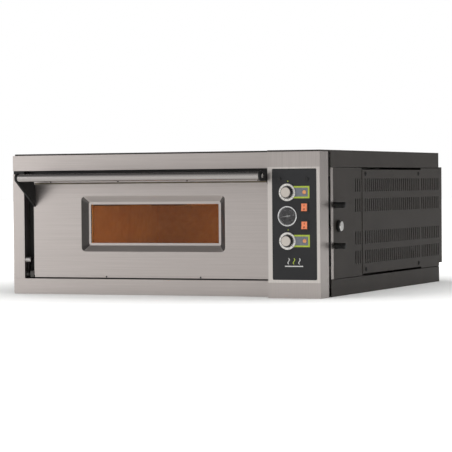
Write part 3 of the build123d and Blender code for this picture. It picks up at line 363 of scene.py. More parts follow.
def block(name, low, high):
    """A box between two corners, to be shaped further."""
    nothing_selected()
    low, high = Vector(low), Vector(high)
    bpy.ops.mesh.primitive_cube_add(size=1, location=(low + high) / 2)
    bpy.context.object.scale = high - low
    return settled(bpy.context.object, name)


def cut(piece, tool):
    """Cuts one piece out of another and removes the cutter."""
    only(piece)
    modifier = piece.modifiers.new("cut", "BOOLEAN")
    modifier.operation = "DIFFERENCE"
    modifier.solver = "EXACT"
    modifier.object = tool
    bpy.ops.object.modifier_apply(modifier=modifier.name)
    bpy.data.objects.remove(tool)
    return piece


rim_low = (column_low.x + 0.8 * mm, column_low.y - 0.4 * mm, plate_low.z - 8 * mm)
rim_high = (column_high.x - 0.8 * mm, column_low.y, plate_high.z + 5 * mm)
reach = Vector((0, 2 * mm, 0))
column_rim = cut(block("column_rim", rim_low, rim_high), block("hole", plate_low - reach, plate_high + reach))
add_on(rounded(column_rim, 0.15 * mm), rim_painted_highlight_steel, "cabinet")


# ------------------------------------------------------------------ dark casing
# Roof, tray, side panels and rear box: thin sheet in a warm near-black powder coat with fine
# orange peel, a trace of dust, and folds and slots with eased edges. A narrow dark joint runs
# under the roof's skirt and over the tray's.
def coat(name, base, light, rough, grain=900, strength=0.3):
    """Powder coat: fine grain, faint clouds of dust and a few rubbed spots."""
    material, tree, main = shader(name)
    peel = noise(tree, grain, 3)
    cloud = noise(tree, 7.0, 6, 0.6)
    rub = noise(tree, (40, 40, 90), 6, 0.7)
    dusty = mixed(tree, spread(tree, cloud, 0, 1), base, light)
    worn = tuple(1.7 * value for value in light)
    tree.links.new(mixed(tree, spread(tree, rub, 0, 0.5, 0.66, 0.8), dusty, worn), main.inputs["Base Color"])
    tree.links.new(spread(tree, peel, rough - 0.05, rough + 0.08), main.inputs["Roughness"])
    relief(tree, main, peel, strength, 0.0002)
    return material


casing_coat = coat("casing_powder_coat", (0.030, 0.0245, 0.0205), (0.038, 0.0315, 0.027), 0.6)
# Near-black for real black parts such as screws and handle brackets, and painted shade where it stands in gaps.
near_black_and_shade = coat("deep_black_coat", (0.004, 0.004, 0.004), (0.007, 0.006, 0.006), 0.6)
for node in ("column_cap", "left_side_panel", "right_side_front", "right_side_cover", "right_side_rear",
             "back_panel", "rear_cover"):
    finish(sheet_copy(node, 0.5 * mm), casing_coat, node)
seam = 1.6 * mm
for node in ("base_tray", "roof_cover"):
    low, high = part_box(node)
    level = low.z if node == "roof_cover" else high.z
    gap_low = (low.x - seam, low.y - seam, level - seam)
    gap = block("gap", gap_low, (high.x + seam, high.y + seam, level + seam))
    finish(rounded(cut(sheet_copy(node, 0), gap), 0.5 * mm), casing_coat, node)
# The door surround and the column spacer sit in gaps that lie in shadow: their near-black is painted shade.
paint(near_black_and_shade, "door_surround", "column_spacer")


# ------------------------------------------------------------------ cover screws
# Four black pan-head screws with a cross recess.
def turned(name, profile, place, steps=48):
    """A solid of revolution: a disc extruded and resized through (radius, height) pairs."""
    nothing_selected()
    radius, height = profile[0]
    start = (0, 0, height)
    bpy.ops.mesh.primitive_circle_add(vertices=steps, radius=radius, fill_type="NGON", location=start)
    piece = bpy.context.object
    bpy.ops.object.mode_set(mode="EDIT")
    bpy.ops.mesh.select_all(action="SELECT")
    for next_radius, next_height in profile[1:]:
        bpy.ops.mesh.extrude_region_move(TRANSFORM_OT_translate={"value": (0, 0, next_height - height)})
        size = next_radius / radius
        bpy.ops.transform.resize(value=(size, size, 1))
        radius, height = next_radius, next_height
    bpy.ops.mesh.select_all(action="SELECT")
    bpy.ops.mesh.normals_make_consistent(inside=False)
    bpy.ops.object.mode_set(mode="OBJECT")
    return settled(piece, name, place)


def joined(name, pieces):
    """Several pieces made into one."""
    only(pieces[0])
    for piece in pieces:
        piece.select_set(True)
    bpy.ops.object.join()
    pieces[0].name = name
    pieces[0].data.name = name
    return pieces[0]


def facing_right(x, y, z):
    """A place whose own Z points to the oven's right."""
    return Matrix.Translation((x, y, z)) @ Matrix.Rotation(pi / 2, 4, "Y")


def facing_front(x, y, z, angle=0):
    """A place on the front whose own Y is up and Z points at the cook, turned clockwise by an angle."""
    return Matrix.Translation((x, y, z)) @ Matrix.Rotation(angle, 4, "Y") @ Matrix.Rotation(pi / 2, 4, "X")


def cross_screw(name, radius, height, place):
    """A pan head with rounded rim and a cross recess."""
    profile = [(radius, 0), (radius, height * 0.45), (radius * 0.86, height * 0.85), (radius * 0.5, height)]
    head = turned(name, profile, Matrix.Identity(4), 32)
    arm, slit = radius * 0.5, radius * 0.13
    for x, y in ((arm, slit), (slit, arm)):
        cut(head, block("cross", (-x, -y, height * 0.45), (x, y, height * 2)))
    return settled(rounded(head, 0.12 * mm, 1, 40), name, place)


screw_low, screw_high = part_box("cover_screws")
head_radius = 6.5 * mm
cover_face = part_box("right_side_cover")[1].x
screws = []
for y in (screw_low.y + head_radius, screw_high.y - head_radius):
    for z in (screw_low.z + head_radius, screw_high.z - head_radius):
        place = facing_right(cover_face, y, z)
        screws.append(cross_screw("screw", head_radius, screw_high.x - cover_face, place))
finish(joined("cover_screw_heads", screws), near_black_and_shade, "cover_screws")


# ------------------------------------------------------------------ side buffers
# Two black rubber pegs with a domed end, three grip rings and an uneven dull surface.
def plastic(name, base, light, rough, grain=500, strength=0.2, coat_weight=0.0):
    """Moulded plastic or rubber with a fine grain and slightly uneven shine."""
    material, tree, main = shader(name)
    grainy = noise(tree, grain, 3)
    patch = noise(tree, 35.0, 4)
    tree.links.new(mixed(tree, spread(tree, patch, 0, 1), base, light), main.inputs["Base Color"])
    tree.links.new(spread(tree, grainy, rough - 0.05, rough + 0.07), main.inputs["Roughness"])
    main.inputs["Coat Weight"].default_value = coat_weight
    relief(tree, main, grainy, strength, 0.0001)
    return material


rubber = plastic("black_rubber", (0.003, 0.003, 0.003), (0.006, 0.006, 0.005), 0.5)
peg_low, peg_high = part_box("side_buffers")
peg_radius = (peg_high.y - peg_low.y) / 2
peg_length = peg_high.x - peg_low.x
peg_profile = [(peg_radius, 0), (peg_radius, peg_length * 0.3)]
for share in (0.36, 0.48, 0.6):
    groove = peg_radius * 0.9
    peg_profile += [(groove, peg_length * share), (groove, peg_length * (share + 0.03))]
    peg_profile += [(peg_radius, peg_length * (share + 0.05)), (peg_radius, peg_length * (share + 0.09))]
peg_profile += [(peg_radius, peg_length * 0.86), (peg_radius * 0.85, peg_length * 0.96)]
peg_profile += [(peg_radius * 0.5, peg_length)]
pegs = [turned("peg", peg_profile, facing_right(peg_low.x, peg_low.y + peg_radius, z))
        for z in (peg_low.z + peg_radius, peg_high.z - peg_radius)]
finish(rounded(joined("rubber_pegs", pegs), 0.4 * mm), rubber, "side_buffers")

# ------------------------------------------------------------------ steam vent knob and rod
# A black knob with a finger groove and sixteen grip flutes, a bright dished cap on its end, and the
# polished rod that pulls the disc off the chamber's vent.
black_plastic = plastic("black_plastic", (0.008, 0.008, 0.008), (0.014, 0.013, 0.013), 0.38)
bright_steel = metal("polished_steel", (0.86, 0.85, 0.83), (0.78, 0.77, 0.75), 900, 0.14, 0.05)
knob_low, knob_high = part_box("vent_knob")
knob_radius = (knob_high.z - knob_low.z) / 2
knob_y, knob_z = (knob_low.y + knob_high.y) / 2, (knob_low.z + knob_high.z) / 2
knob_thick = knob_high.x - knob_low.x
vent_profile = [(knob_radius * 0.8, 0), (knob_radius, knob_thick * 0.25), (knob_radius, knob_thick * 0.75),
                (knob_radius * 0.93, knob_thick)]
vent_grip = turned("vent_grip", vent_profile, Matrix.Identity(4), 64)
flute_profile = [(1.4 * mm, -mm), (1.4 * mm, 2 * knob_thick)]
for index in range(16):
    angle = 2 * pi * index / 16
    flute = (knob_radius * 1.04 * cos(angle), knob_radius * 1.04 * sin(angle), 0)
    cut(vent_grip, turned("flute", flute_profile, Matrix.Translation(flute), 12))
settled(rounded(vent_grip, 0.25 * mm, 2), "vent_grip", facing_right(knob_low.x, knob_y, knob_z))
finish(vent_grip, black_plastic, "vent_knob")
cap_radius = 14.5 * mm
cap_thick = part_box("vent_rod")[1].x - knob_high.x
cap_profile = [(cap_radius, 0), (cap_radius, cap_thick * 0.6), (cap_radius * 0.94, cap_thick),
               (cap_radius * 0.8, cap_thick), (cap_radius * 0.7, cap_thick * 0.75),
               (cap_radius * 0.1, cap_thick * 0.6)]
vent_cap = turned("vent_cap", cap_profile, facing_right(knob_high.x, knob_y, knob_z), 64)
add_on(rounded(vent_cap, 0.2 * mm), bright_steel, "steam_valve")
paint(bright_steel, "vent_rod")

# ------------------------------------------------------------------ door skin
# The pressed front of the door. The window's recess has soft press radii, so its edges are
# rounded wider than the sheet's cut edges. Its two end walls are given a much darker steel as painted shade.
skin = sheet_copy("door_skin", 0)
window_low, window_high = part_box("door_glasses")
press = 26 * mm


def in_recess(edge):
    """Edges of the pressed recess: near the window and not on the skin's outer rim."""
    middle = (edge.verts[0].co + edge.verts[1].co) / 2
    near_x = window_low.x - press < middle.x < window_high.x + press
    near_z = window_low.z - press < middle.z < window_high.z + press
    bent = len(edge.link_faces) == 2 and 20 < edge.calc_face_angle(0) * 180 / pi < 60
    return near_x and near_z and bent


edit_where(skin, "edges", in_recess)
bpy.ops.mesh.bevel(offset=1.6 * mm, segments=4)
bpy.ops.object.mode_set(mode="OBJECT")
finish(rounded(skin, 0.3 * mm, 2, 40), steel_across, "door_skin")
# Painted shade: a much darker copy of the steel for the recess's two end walls.
drawn_steel = metal("drawn_steel", (0.15, 0.14, 0.135), (0.11, 0.10, 0.095), (300, 300, 300), 0.4)
skin.data.materials.append(drawn_steel)
for polygon in skin.data.polygons:
    inside = window_low.x - press < polygon.center.x < window_high.x + press
    if inside and abs(polygon.normal.x) > 0.25 and polygon.center.z > window_low.z - press:
        polygon.material_index = 1

# ------------------------------------------------------------------ door pan and mineral wool
# The pan's two bright strips show above and below the skin, with small dark button screws.
pan = sheet_copy("door_pan", 0.35 * mm)
finish(pan, steel_across, "door_pan")
pan_low, pan_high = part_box("door_pan")
door_middle = (pan_low.x + pan_high.x) / 2
strip = 6 * mm
upper_strip, lower_strip = pan_high.z - strip / 2, pan_low.z + strip / 2
strip_screws = []
for level, offsets in ((upper_strip, (-330, -110, 110, 330)), (lower_strip, (-150, 150))):
    for offset in offsets:
        place = facing_front(door_middle + offset * mm, pan_low.y, level)
        strip_screws.append(cross_screw("strip_screw", 2.4 * mm, 1.2 * mm, place))
add_on(joined("strip_screws", strip_screws), near_black_and_shade, "door")


def wool(name, base, light):
    """Mineral wool: matted fibres in layers."""
    material, tree, main = shader(name)
    fibre = noise(tree, (260, 260, 600), 6, 0.75)
    lump = noise(tree, 30.0, 4)
    colour = mixed(tree, spread(tree, fibre, 0, 1), base, light)
    shade = tuple(0.7 * value for value in base)
    tree.links.new(mixed(tree, spread(tree, lump, 0, 0.6), colour, shade), main.inputs["Base Color"])
    main.inputs["Roughness"].default_value = 0.95
    relief(tree, main, fibre, 0.8, 0.002)
    return material


grey_wool = wool("mineral_wool", (0.20, 0.17, 0.12), (0.34, 0.29, 0.20))
paint(grey_wool, "insulation", "door_insulation")

# ------------------------------------------------------------------ window
# Two panes of heat-reflecting glass with an amber tint, in a folded steel spacer. They let
# the lit chamber show through and mirror the room a little.
glass_paint = bpy.data.materials.new("amber_glass")
glass_paint.use_nodes = True
glass_tree = glass_paint.node_tree
glass_tree.nodes.remove(glass_tree.nodes["Principled BSDF"])
tint = glass_tree.nodes.new("ShaderNodeBsdfTransparent")
streak = spread(glass_tree, noise(glass_tree, (9, 9, 14), 4), 0, 1)
glass_tree.links.new(mixed(glass_tree, streak, (0.95, 0.79, 0.58), (0.93, 0.76, 0.55)), tint.inputs["Color"])
gloss = glass_tree.nodes.new("ShaderNodeBsdfGlossy")
gloss.inputs["Roughness"].default_value = 0.35
gloss.inputs["Color"].default_value = (0.85, 0.8, 0.78, 1)
haze = glass_tree.nodes.new("ShaderNodeMixShader")
haze.inputs["Fac"].default_value = 0.02
glass_tree.links.new(tint.outputs["BSDF"], haze.inputs[1])
glass_tree.links.new(gloss.outputs["BSDF"], haze.inputs[2])
glass_tree.links.new(haze.outputs["Shader"], glass_tree.nodes["Material Output"].inputs["Surface"])
finish(sheet_copy("door_glasses", 0.4 * mm), glass_paint, "door_glasses")
plated = metal("plated_steel", (0.62, 0.61, 0.58), (0.50, 0.49, 0.46), 300, 0.38)
paint(plated, "glass_spacer")

# ------------------------------------------------------------------ handle
# A stainless tube between two black brackets cut from 6 mm plate, with black end plugs and
# bright cross-head screws.
tube_steel = metal("handle_steel", (0.50, 0.47, 0.455), (0.41, 0.385, 0.37), (3, 900, 900), 0.20)
finish(rounded(sheet_copy("handle_bar", 0), 0.3 * mm), tube_steel, "handle_bar")
finish(sheet_copy("handle_brackets", 0.8 * mm, 3), near_black_and_shade, "handle_brackets")
finish(sheet_copy("handle_fixings", 0.3 * mm), bright_steel, "handle_fixings")

# ------------------------------------------------------------------ hinge
# Pins and their blocks on the door, bearings on the cabinet, and the coil spring on the left
# pin with the stud that anchors it.
dull_steel = metal("oxidised_hinge_steel", (0.11, 0.105, 0.10), (0.07, 0.066, 0.062), 300, 0.42)
finish(sheet_copy("hinge_pins", 0.3 * mm), dull_steel, "hinge_pins")
finish(sheet_copy("hinge_bearings", 0.4 * mm), dull_steel, "hinge_bearings")
spring_low, spring_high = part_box("hinge_spring")
spring_y = (spring_low.y + spring_high.y) / 2
coil_outer, stud_radius = 9 * mm, 8.5 * mm
coil_z, stud_z = spring_low.z + coil_outer, spring_high.z - stud_radius
wire, coil_radius, turns, pitch = 1.2 * mm, 7.6 * mm, 4, 2.65 * mm
nothing_selected()
bpy.ops.mesh.primitive_circle_add(vertices=14, radius=wire, location=(0, coil_radius, 0))
coil = settled(bpy.context.object, "coil")
winding = coil.modifiers.new("winding", "SCREW")
winding.axis = "X"
winding.angle = 2 * pi
winding.iterations = turns
winding.screw_offset = pitch
winding.steps = 40
winding.use_merge_vertices = True
bpy.ops.object.modifier_apply(modifier=winding.name)
edit_where(coil, "edges", lambda edge: edge.is_boundary)
bpy.ops.mesh.fill_holes(sides=0)
bpy.ops.mesh.select_all(action="SELECT")
bpy.ops.mesh.normals_make_consistent(inside=False)
bpy.ops.object.mode_set(mode="OBJECT")
coil_start = spring_low.x + mm + wire
settled(coil, "coil", Matrix.Translation((coil_start, spring_y, coil_z)))
leg_length = stud_z - coil_z + 2 * mm
lean = Matrix.Rotation(-0.05, 4, "X")
leg_place = Matrix.Translation((coil_start, spring_y + coil_radius, coil_z)) @ lean
leg = turned("leg", [(wire, 0), (wire, leg_length * 0.5), (wire, leg_length)], leg_place, 14)
finish(rounded(joined("coil_spring", [coil, leg]), 0.1 * mm, 1, 50), dull_steel, "hinge_spring")
stud_steel = metal("stud_steel", (0.50, 0.48, 0.46), (0.42, 0.40, 0.385), 300, 0.35)
stud_length = spring_high.x - spring_low.x
stud_profile = [(stud_radius, 0), (stud_radius, stud_length * 0.9), (7.4 * mm, stud_length),
                (4 * mm, stud_length)]
stud = rounded(turned("spring_stud", stud_profile, facing_right(spring_low.x, spring_y, stud_z)), 0.3 * mm)
add_on(stud, stud_steel, "cabinet")

# ------------------------------------------------------------------ chamber
# The folded steel chamber, blued and browned by heat, with tubular elements on ceramic beads,
# angle supports and two stone tiles.
liner_paint, liner_tree, liner_main = shader("heat_tinted_steel")
patina = noise(liner_tree, 6.0, 5, 0.6)
soot = noise(liner_tree, 60.0, 6, 0.7)
tinted = mixed(liner_tree, spread(liner_tree, patina, 0, 1), (0.50, 0.36, 0.24), (0.60, 0.47, 0.34))
liner_tree.links.new(mixed(liner_tree, spread(liner_tree, soot, 0, 0.45), tinted, (0.30, 0.20, 0.13)),
                     liner_main.inputs["Base Color"])
liner_main.inputs["Metallic"].default_value = 0.55
liner_tree.links.new(spread(liner_tree, soot, 0.5, 0.7), liner_main.inputs["Roughness"])
relief(liner_tree, liner_main, soot, 0.2)
paint(liner_paint, "chamber_liner", "tile_supports")

stone_paint, stone_tree, stone_main = shader("refractory_stone")
crumb = noise(stone_tree, 420.0, 5, 0.7)
scorch = noise(stone_tree, 9.0, 5, 0.6)
stone = mixed(stone_tree, spread(stone_tree, crumb, 0, 1), (0.46, 0.37, 0.27), (0.62, 0.53, 0.41))
scorched = mixed(stone_tree, spread(stone_tree, scorch, 0, 0.7, 0.5, 0.72), stone, (0.17, 0.12, 0.08))
stone_tree.links.new(scorched, stone_main.inputs["Base Color"])
stone_main.inputs["Roughness"].default_value = 0.9
relief(stone_tree, stone_main, crumb, 0.6, 0.0006)
finish(sheet_copy("floor_tiles", 1.2 * mm, 3), stone_paint, "floor_tiles")

oxide = coat("oxidised_tube", (0.055, 0.045, 0.038), (0.11, 0.09, 0.075), 0.6)
paint(oxide, "heating_elements")
ceramic = plastic("steatite", (0.74, 0.71, 0.64), (0.82, 0.80, 0.74), 0.45)
paint(ceramic, "element_beads")

# ------------------------------------------------------------------ chamber lamp
# A glass cap over a small warm bulb in the chamber's right wall.
lens_paint, lens_tree, lens_main = shader("lamp_glass")
ripple = noise(lens_tree, 120.0, 3)
lens_main.inputs["Base Color"].default_value = (1, 0.93, 0.82, 1)
lens_main.inputs["Transmission Weight"].default_value = 0.9
lens_tree.links.new(spread(lens_tree, ripple, 0.08, 0.2), lens_main.inputs["Roughness"])
relief(lens_tree, lens_main, ripple, 0.3)
paint(lens_paint, "lamp_lens")
paint(ceramic, "chamber_lamp")
lens_low, lens_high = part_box("lamp_lens")
glow_place = Vector((lens_low.x - 20 * mm, (lens_low.y + lens_high.y) / 2, (lens_low.z + lens_high.z) / 2))
far_wall = (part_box("chamber_liner")[0].x, -0.05, 0.16)
softbox("chamber_glow", glow_place, far_wall, 0.08, 2.4, (1.0, 0.80, 0.50))

# ------------------------------------------------------------------ control plate
# A satin black plate with printed lime frames beside the dials, index dots over them, and a
# plain sign of rising heat over a tray in place of any name.
plate_coat = coat("plate_black", (0.010, 0.010, 0.0115), (0.014, 0.014, 0.016), 0.5, 1200, 0.15)
finish(sheet_copy("control_panel", 0.25 * mm), plate_coat, "control_panel")


def ink(name, colour, rough=0.45, glow=0.0):
    """Screen-printed ink or a lit plastic, slightly uneven."""
    material, tree, main = shader(name)
    patch = noise(tree, 300.0, 3)
    darker = tuple(0.85 * value for value in colour)
    tree.links.new(mixed(tree, spread(tree, patch, 0, 1), darker, colour), main.inputs["Base Color"])
    main.inputs["Roughness"].default_value = rough
    main.inputs["Emission Color"].default_value = (*colour, 1)
    main.inputs["Emission Strength"].default_value = glow
    relief(tree, main, patch, 0.1, 0.00005)
    return material


lime_ink = ink("lime_ink", (0.50, 0.62, 0.06))
white_ink = ink("white_ink", (0.80, 0.80, 0.78))
black_ink = ink("black_ink", (0.02, 0.02, 0.02))
field_ink = ink("grey_blue_ink", (0.20, 0.215, 0.25))
print_depth = 0.15 * mm
plate_face = plate_low.y


def frame_ring(name, low, high, width):
    """A flat ring in a plane of constant Y: the box's front face inset and its middle cut through."""
    ring = block(name, low, high)
    edit_where(ring, "faces", lambda face: abs(face.normal.y) > 0.9)
    bpy.ops.mesh.inset(thickness=width, depth=0)
    bpy.ops.mesh.bridge_edge_loops()
    bpy.ops.object.mode_set(mode="OBJECT")
    return ring


knob_places = [Vector(joint["pos_m"]) for joint in frame["joints"]
               if joint["name"] in ("upper_knob_turn", "lower_knob_turn")]
lime_prints, fields = [], []
for place in knob_places:
    low = (place.x + 16 * mm, plate_face - print_depth, place.z - 17 * mm)
    high = (place.x + 66 * mm, plate_face, place.z + 17 * mm)
    lime_prints.append(frame_ring("lime_frame", low, high, 4.6 * mm))
    low = (place.x + 20.8 * mm, plate_face - print_depth / 2, place.z - 12.2 * mm)
    high = (place.x + 61.2 * mm, plate_face, place.z + 12.2 * mm)
    fields.append(rounded(block("field", low, high), 0.03 * mm, 1))
    dot_place = facing_front(place.x + 2 * mm, plate_face, place.z + 30.5 * mm)
    lime_prints.append(turned("dot", [(1.5 * mm, 0), (1.4 * mm, print_depth)], dot_place, 24))
add_on(joined("lime_prints", lime_prints), lime_ink, "cabinet")
add_on(joined("lamp_fields", fields), field_ink, "cabinet")


def wavy_line(x, z, height):
    """An upright printed line that sways once from side to side."""
    nothing_selected()
    bpy.ops.mesh.primitive_grid_add(x_subdivisions=1, y_subdivisions=24, size=1)
    line = bpy.context.object
    line.scale = (2.6 * mm, height, 1)
    settled(line, "wave")
    for vertex in line.data.vertices:
        vertex.co.x += 2.2 * mm * sin(2 * pi * vertex.co.y / height)
    only(line)
    thick = line.modifiers.new("thick", "SOLIDIFY")
    thick.thickness = print_depth
    thick.offset = 1
    bpy.ops.object.modifier_apply(modifier=thick.name)
    return settled(line, "wave", facing_front(x, plate_face, z + height / 2))


sign_x, sign_z = (plate_low.x + plate_high.x) / 2 - 2 * mm, 88 * mm
tray_low = (sign_x - 27 * mm, plate_face - print_depth, sign_z)
tray = rounded(block("tray", tray_low, (sign_x + 27 * mm, plate_face, sign_z + 3 * mm)), 0.05 * mm, 1)
waves = [wavy_line(sign_x + offset * mm, sign_z + 7 * mm, 17 * mm) for offset in (-16, 16)]
add_on(joined("heat_sign_white", [tray, *waves]), white_ink, "cabinet")
lime_wave = wavy_line(sign_x, sign_z + 7 * mm, 17 * mm)
add_on(lime_wave, lime_ink, "cabinet").name = "heat_sign_lime"

# ------------------------------------------------------------------ temperature knobs
# Each knob is a spun metal scale ring with dark ticks and numbers, a black fluted grip and a
# brushed cap. Ring, numbers, grip and cap all turn together.
ring_metal = metal("spun_scale_metal", (0.88, 0.855, 0.82), (0.80, 0.775, 0.74), (500, 40, 500), 0.30)
cap_metal = metal("brushed_cap_metal", (0.72, 0.665, 0.60), (0.62, 0.57, 0.52), (1500, 60, 60), 0.36)
dial_low, dial_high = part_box("upper_dial")
dial_radius = (dial_high.x - dial_low.x) / 2
grip_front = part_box("upper_knob")[0].y


def digits(text, size, place):
    """Raised digits, centred on a place."""
    nothing_selected()
    bpy.ops.object.text_add()
    label = bpy.context.object
    label.data.body = text
    label.data.size = size
    label.data.extrude = print_depth / 3
    label.data.align_x = "CENTER"
    label.data.align_y = "CENTER"
    only(label)
    bpy.ops.object.convert(target="MESH")
    return settled(bpy.context.object, "digits", place)


def tick(inner, outer, width, angle, y):
    """A scale mark between two radii, round a centre on the Y axis, clockwise from the top."""
    mark = block("tick", (-width / 2, y - print_depth, inner), (width / 2, y, outer))
    return settled(mark, "tick", Matrix.Rotation(angle, 4, "Y"))


def scale_marks(name, centre, start, sweep, count, numbers, inner, short, long, label_radius, size):
    """Ticks and numbers round a dial, from a start angle through a sweep."""
    marks = []
    for index in range(count * 5 + 1):
        angle = start + sweep * index / (count * 5)
        outer = long if index % 5 == 0 else short
        marks.append(tick(inner, outer, 0.5 * mm if index % 5 else 0.8 * mm, angle, 0))
    for index, number in enumerate(numbers):
        angle = start + sweep * index / count
        upright = Matrix.Translation((label_radius * sin(angle), 0, label_radius * cos(angle)))
        marks.append(digits(number, size, upright @ facing_front(0, 0, 0)))
    return settled(joined(name, marks), name, Matrix.Translation(centre))


for level, place in zip(("upper", "lower"), knob_places):
    body, knob = level + "_knob", level + "_knob"
    ring_back = dial_high.y
    profile = [(dial_radius * 0.96, 0), (dial_radius, 0.5 * mm), (dial_radius, 1.3 * mm),
               (dial_radius * 0.96, 2 * mm), (dial_radius * 0.74, 2 * mm), (dial_radius * 0.72, 1.7 * mm),
               (dial_radius * 0.3, 1.7 * mm)]
    ring_place = facing_front(place.x, ring_back, place.z)
    ring = rounded(turned(level + "_scale_ring", profile, ring_place, 96), 0.15 * mm)
    cap_base = facing_front(place.x, grip_front, place.z)
    cap_edge = grip_front - dial_low.y
    cap_profile = [(13.8 * mm, -0.3 * mm), (13.8 * mm, cap_edge * 0.6), (13.2 * mm, cap_edge),
                   (12.4 * mm, cap_edge), (12.0 * mm, cap_edge * 0.8), (2 * mm, cap_edge * 0.8)]
    cap = rounded(turned(level + "_cap", cap_profile, cap_base, 96), 0.12 * mm)
    add_on(cap, cap_metal, body)
    numbers = [str(50 * index) for index in range(10)]
    centre = (place.x, ring_back - 2 * mm, place.z)
    marks = scale_marks(level + "_scale_marks", centre, radians(0), radians(300), 9, numbers, 18.4 * mm,
                        19.8 * mm, 20.6 * mm, 22.4 * mm, 2.6 * mm)
    add_on(marks, black_ink, body)
    finish(ring, ring_metal, level + "_dial")
    grip_height = ring_back - 2 * mm - grip_front
    grip_profile = [(18 * mm, 0), (17.2 * mm, 1.2 * mm), (15.6 * mm, grip_height * 0.5),
                    (15 * mm, grip_height)]
    grip = turned(level + "_grip", grip_profile, Matrix.Identity(4), 96)
    for index in range(20):
        angle = 2 * pi * index / 20
        flute_place = Matrix.Translation((16.9 * mm * cos(angle), 16.9 * mm * sin(angle), 0))
        cut(grip, turned("flute", [(1.2 * mm, -mm), (1.2 * mm, 2 * grip_height)], flute_place, 12))
    grip_place = facing_front(place.x, ring_back - 2 * mm, place.z)
    settled(rounded(grip, 0.2 * mm, 1, 40), level + "_grip", grip_place)
    finish(grip, black_plastic, knob)

# ------------------------------------------------------------------ thermometer
# A chromed rim round a dark grey scale plate with pale ticks and numbers, a white needle and
# a flat glass.
chrome = metal("chrome", (0.86, 0.86, 0.86), (0.80, 0.80, 0.80), 700, 0.16, 0.05)
face_grey = ink("gauge_grey", (0.125, 0.12, 0.125), 0.6)
pale_ink = ink("pale_ink", (0.42, 0.42, 0.43))
finish(rounded(sheet_copy("gauge_case", 0), 0.4 * mm, 2, 40), chrome, "gauge_case")
paint(face_grey, "gauge_face")
paint(white_ink, "gauge_needle")
gauge = next(Vector(joint["pos_m"]) for joint in frame["joints"] if joint["name"] == "needle_sweep")
face_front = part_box("gauge_needle")[1].y
gauge_numbers = [str(100 * index) for index in range(6)]
face_place = (gauge.x, face_front + 0.58 * mm, gauge.z)
gauge_marks = scale_marks("gauge_marks", face_place, radians(-135), radians(270), 5, gauge_numbers, 21 * mm,
                          22.4 * mm, 23.4 * mm, 17.4 * mm, 4 * mm)
add_on(gauge_marks, pale_ink, "cabinet")

clear = bpy.data.materials.new("clear_glass")
clear.use_nodes = True
clear_tree = clear.node_tree
clear_tree.nodes.remove(clear_tree.nodes["Principled BSDF"])
through = clear_tree.nodes.new("ShaderNodeBsdfTransparent")
shine = clear_tree.nodes.new("ShaderNodeBsdfGlossy")
clear_tree.links.new(spread(clear_tree, noise(clear_tree, 200.0), 0.02, 0.08), shine.inputs["Roughness"])
edge = clear_tree.nodes.new("ShaderNodeFresnel")
clear_mix = clear_tree.nodes.new("ShaderNodeMixShader")
clear_tree.links.new(edge.outputs["Fac"], clear_mix.inputs["Fac"])
clear_tree.links.new(through.outputs["BSDF"], clear_mix.inputs[1])
clear_tree.links.new(shine.outputs["BSDF"], clear_mix.inputs[2])
clear_tree.links.new(clear_mix.outputs["Shader"], clear_tree.nodes["Material Output"].inputs["Surface"])
paint(clear, "gauge_glass")

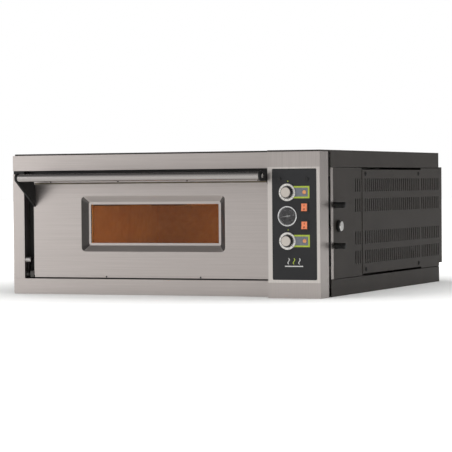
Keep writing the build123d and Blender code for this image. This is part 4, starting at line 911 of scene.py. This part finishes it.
# ------------------------------------------------------------------ rockers, lamps and reset caps
# Lit orange rockers with a bar and a ring moulded in, black bezels, amber pilot lamps and
# small black caps over the safety cut-outs.
rocker_plastic = ink("lit_orange", (0.76, 0.22, 0.10), 0.3, 0.3)
lamp_plastic = ink("lit_amber", (0.62, 0.27, 0.11), 0.25, 0.3)
mark_plastic = ink("dark_mark", (0.10, 0.015, 0.01), 0.4)
finish(sheet_copy("switch_bodies", 0.5 * mm, 3), black_plastic, "switch_bodies")
finish(sheet_copy("reset_caps", 0.5 * mm, 3), black_plastic, "reset_caps")
finish(rounded(sheet_copy("pilot_lamps", 0), 0.9 * mm, 4, 40), lamp_plastic, "pilot_lamps")
for level in ("upper", "lower"):
    node = level + "_rocker"
    low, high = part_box(node)
    middle_x, middle_z = (low.x + high.x) / 2, (low.z + high.z) / 2
    quarter = (high.z - low.z) / 4
    marks = []
    for share in (1, -1):
        point = Vector((middle_x, low.y - 0.05, middle_z + share * quarter))
        touched, normal = frame["nodes"][node].ray_cast(point, Vector((0, 1, 0)))[1:3]
        lean = Vector((0, 0, 1)).rotation_difference(normal).to_matrix().to_4x4()
        place = Matrix.Translation(touched) @ lean
        if share == 1:
            mark = block("bar", (-3 * mm, -0.9 * mm, 0), (3 * mm, 0.9 * mm, print_depth / 2))
            marks.append(settled(rounded(mark, 0.03 * mm, 1), "bar", place @ Matrix.Rotation(pi / 2, 4, "Z")))
        else:
            mark = turned("ring", [(2.9 * mm, 0), (2.9 * mm, print_depth / 2)], Matrix.Identity(4), 32)
            cut(mark, turned("hole", [(1.5 * mm, -mm), (1.5 * mm, mm)], Matrix.Identity(4), 32))
            marks.append(settled(mark, "ring", place))
    add_on(joined(node + "_marks", marks), mark_plastic, node)
    finish(rounded(sheet_copy(node, 0), 0.5 * mm, 3, 20), rocker_plastic, node)

# ------------------------------------------------------------------ hidden works
# Switchgear and thermostats in grey moulded plastic, plated ducting and brackets, a braided
# seal round the chamber's mouth, and the black supply gland.
grey_plastic = plastic("grey_plastic", (0.10, 0.105, 0.11), (0.15, 0.155, 0.16), 0.5)
for node in ("switchgear", "thermostats"):
    finish(sheet_copy(node, 0.8 * mm), grey_plastic, node)
paint(plated, "steam_duct", "chamber_cradle", "divider_panel")
finish(sheet_copy("cable_gland", 0.5 * mm), black_plastic, "cable_gland")
braid, braid_tree, braid_main = shader("braided_seal")
wave = braid_tree.nodes.new("ShaderNodeTexWave")
wave.bands_direction = "DIAGONAL"
wave.inputs["Scale"].default_value = 90
wave.inputs["Distortion"].default_value = 1.5
braid_tree.links.new(stretched(braid_tree, (1, 1, 1)), wave.inputs["Vector"])
braid_tree.links.new(mixed(braid_tree, wave.outputs["Fac"], (0.13, 0.12, 0.105), (0.30, 0.28, 0.24)),
                     braid_main.inputs["Base Color"])
braid_main.inputs["Roughness"].default_value = 0.9
relief(braid_tree, braid_main, wave.outputs["Fac"], 0.8, 0.001)
finish(sheet_copy("door_gasket", 0.8 * mm, 3), braid, "door_gasket")
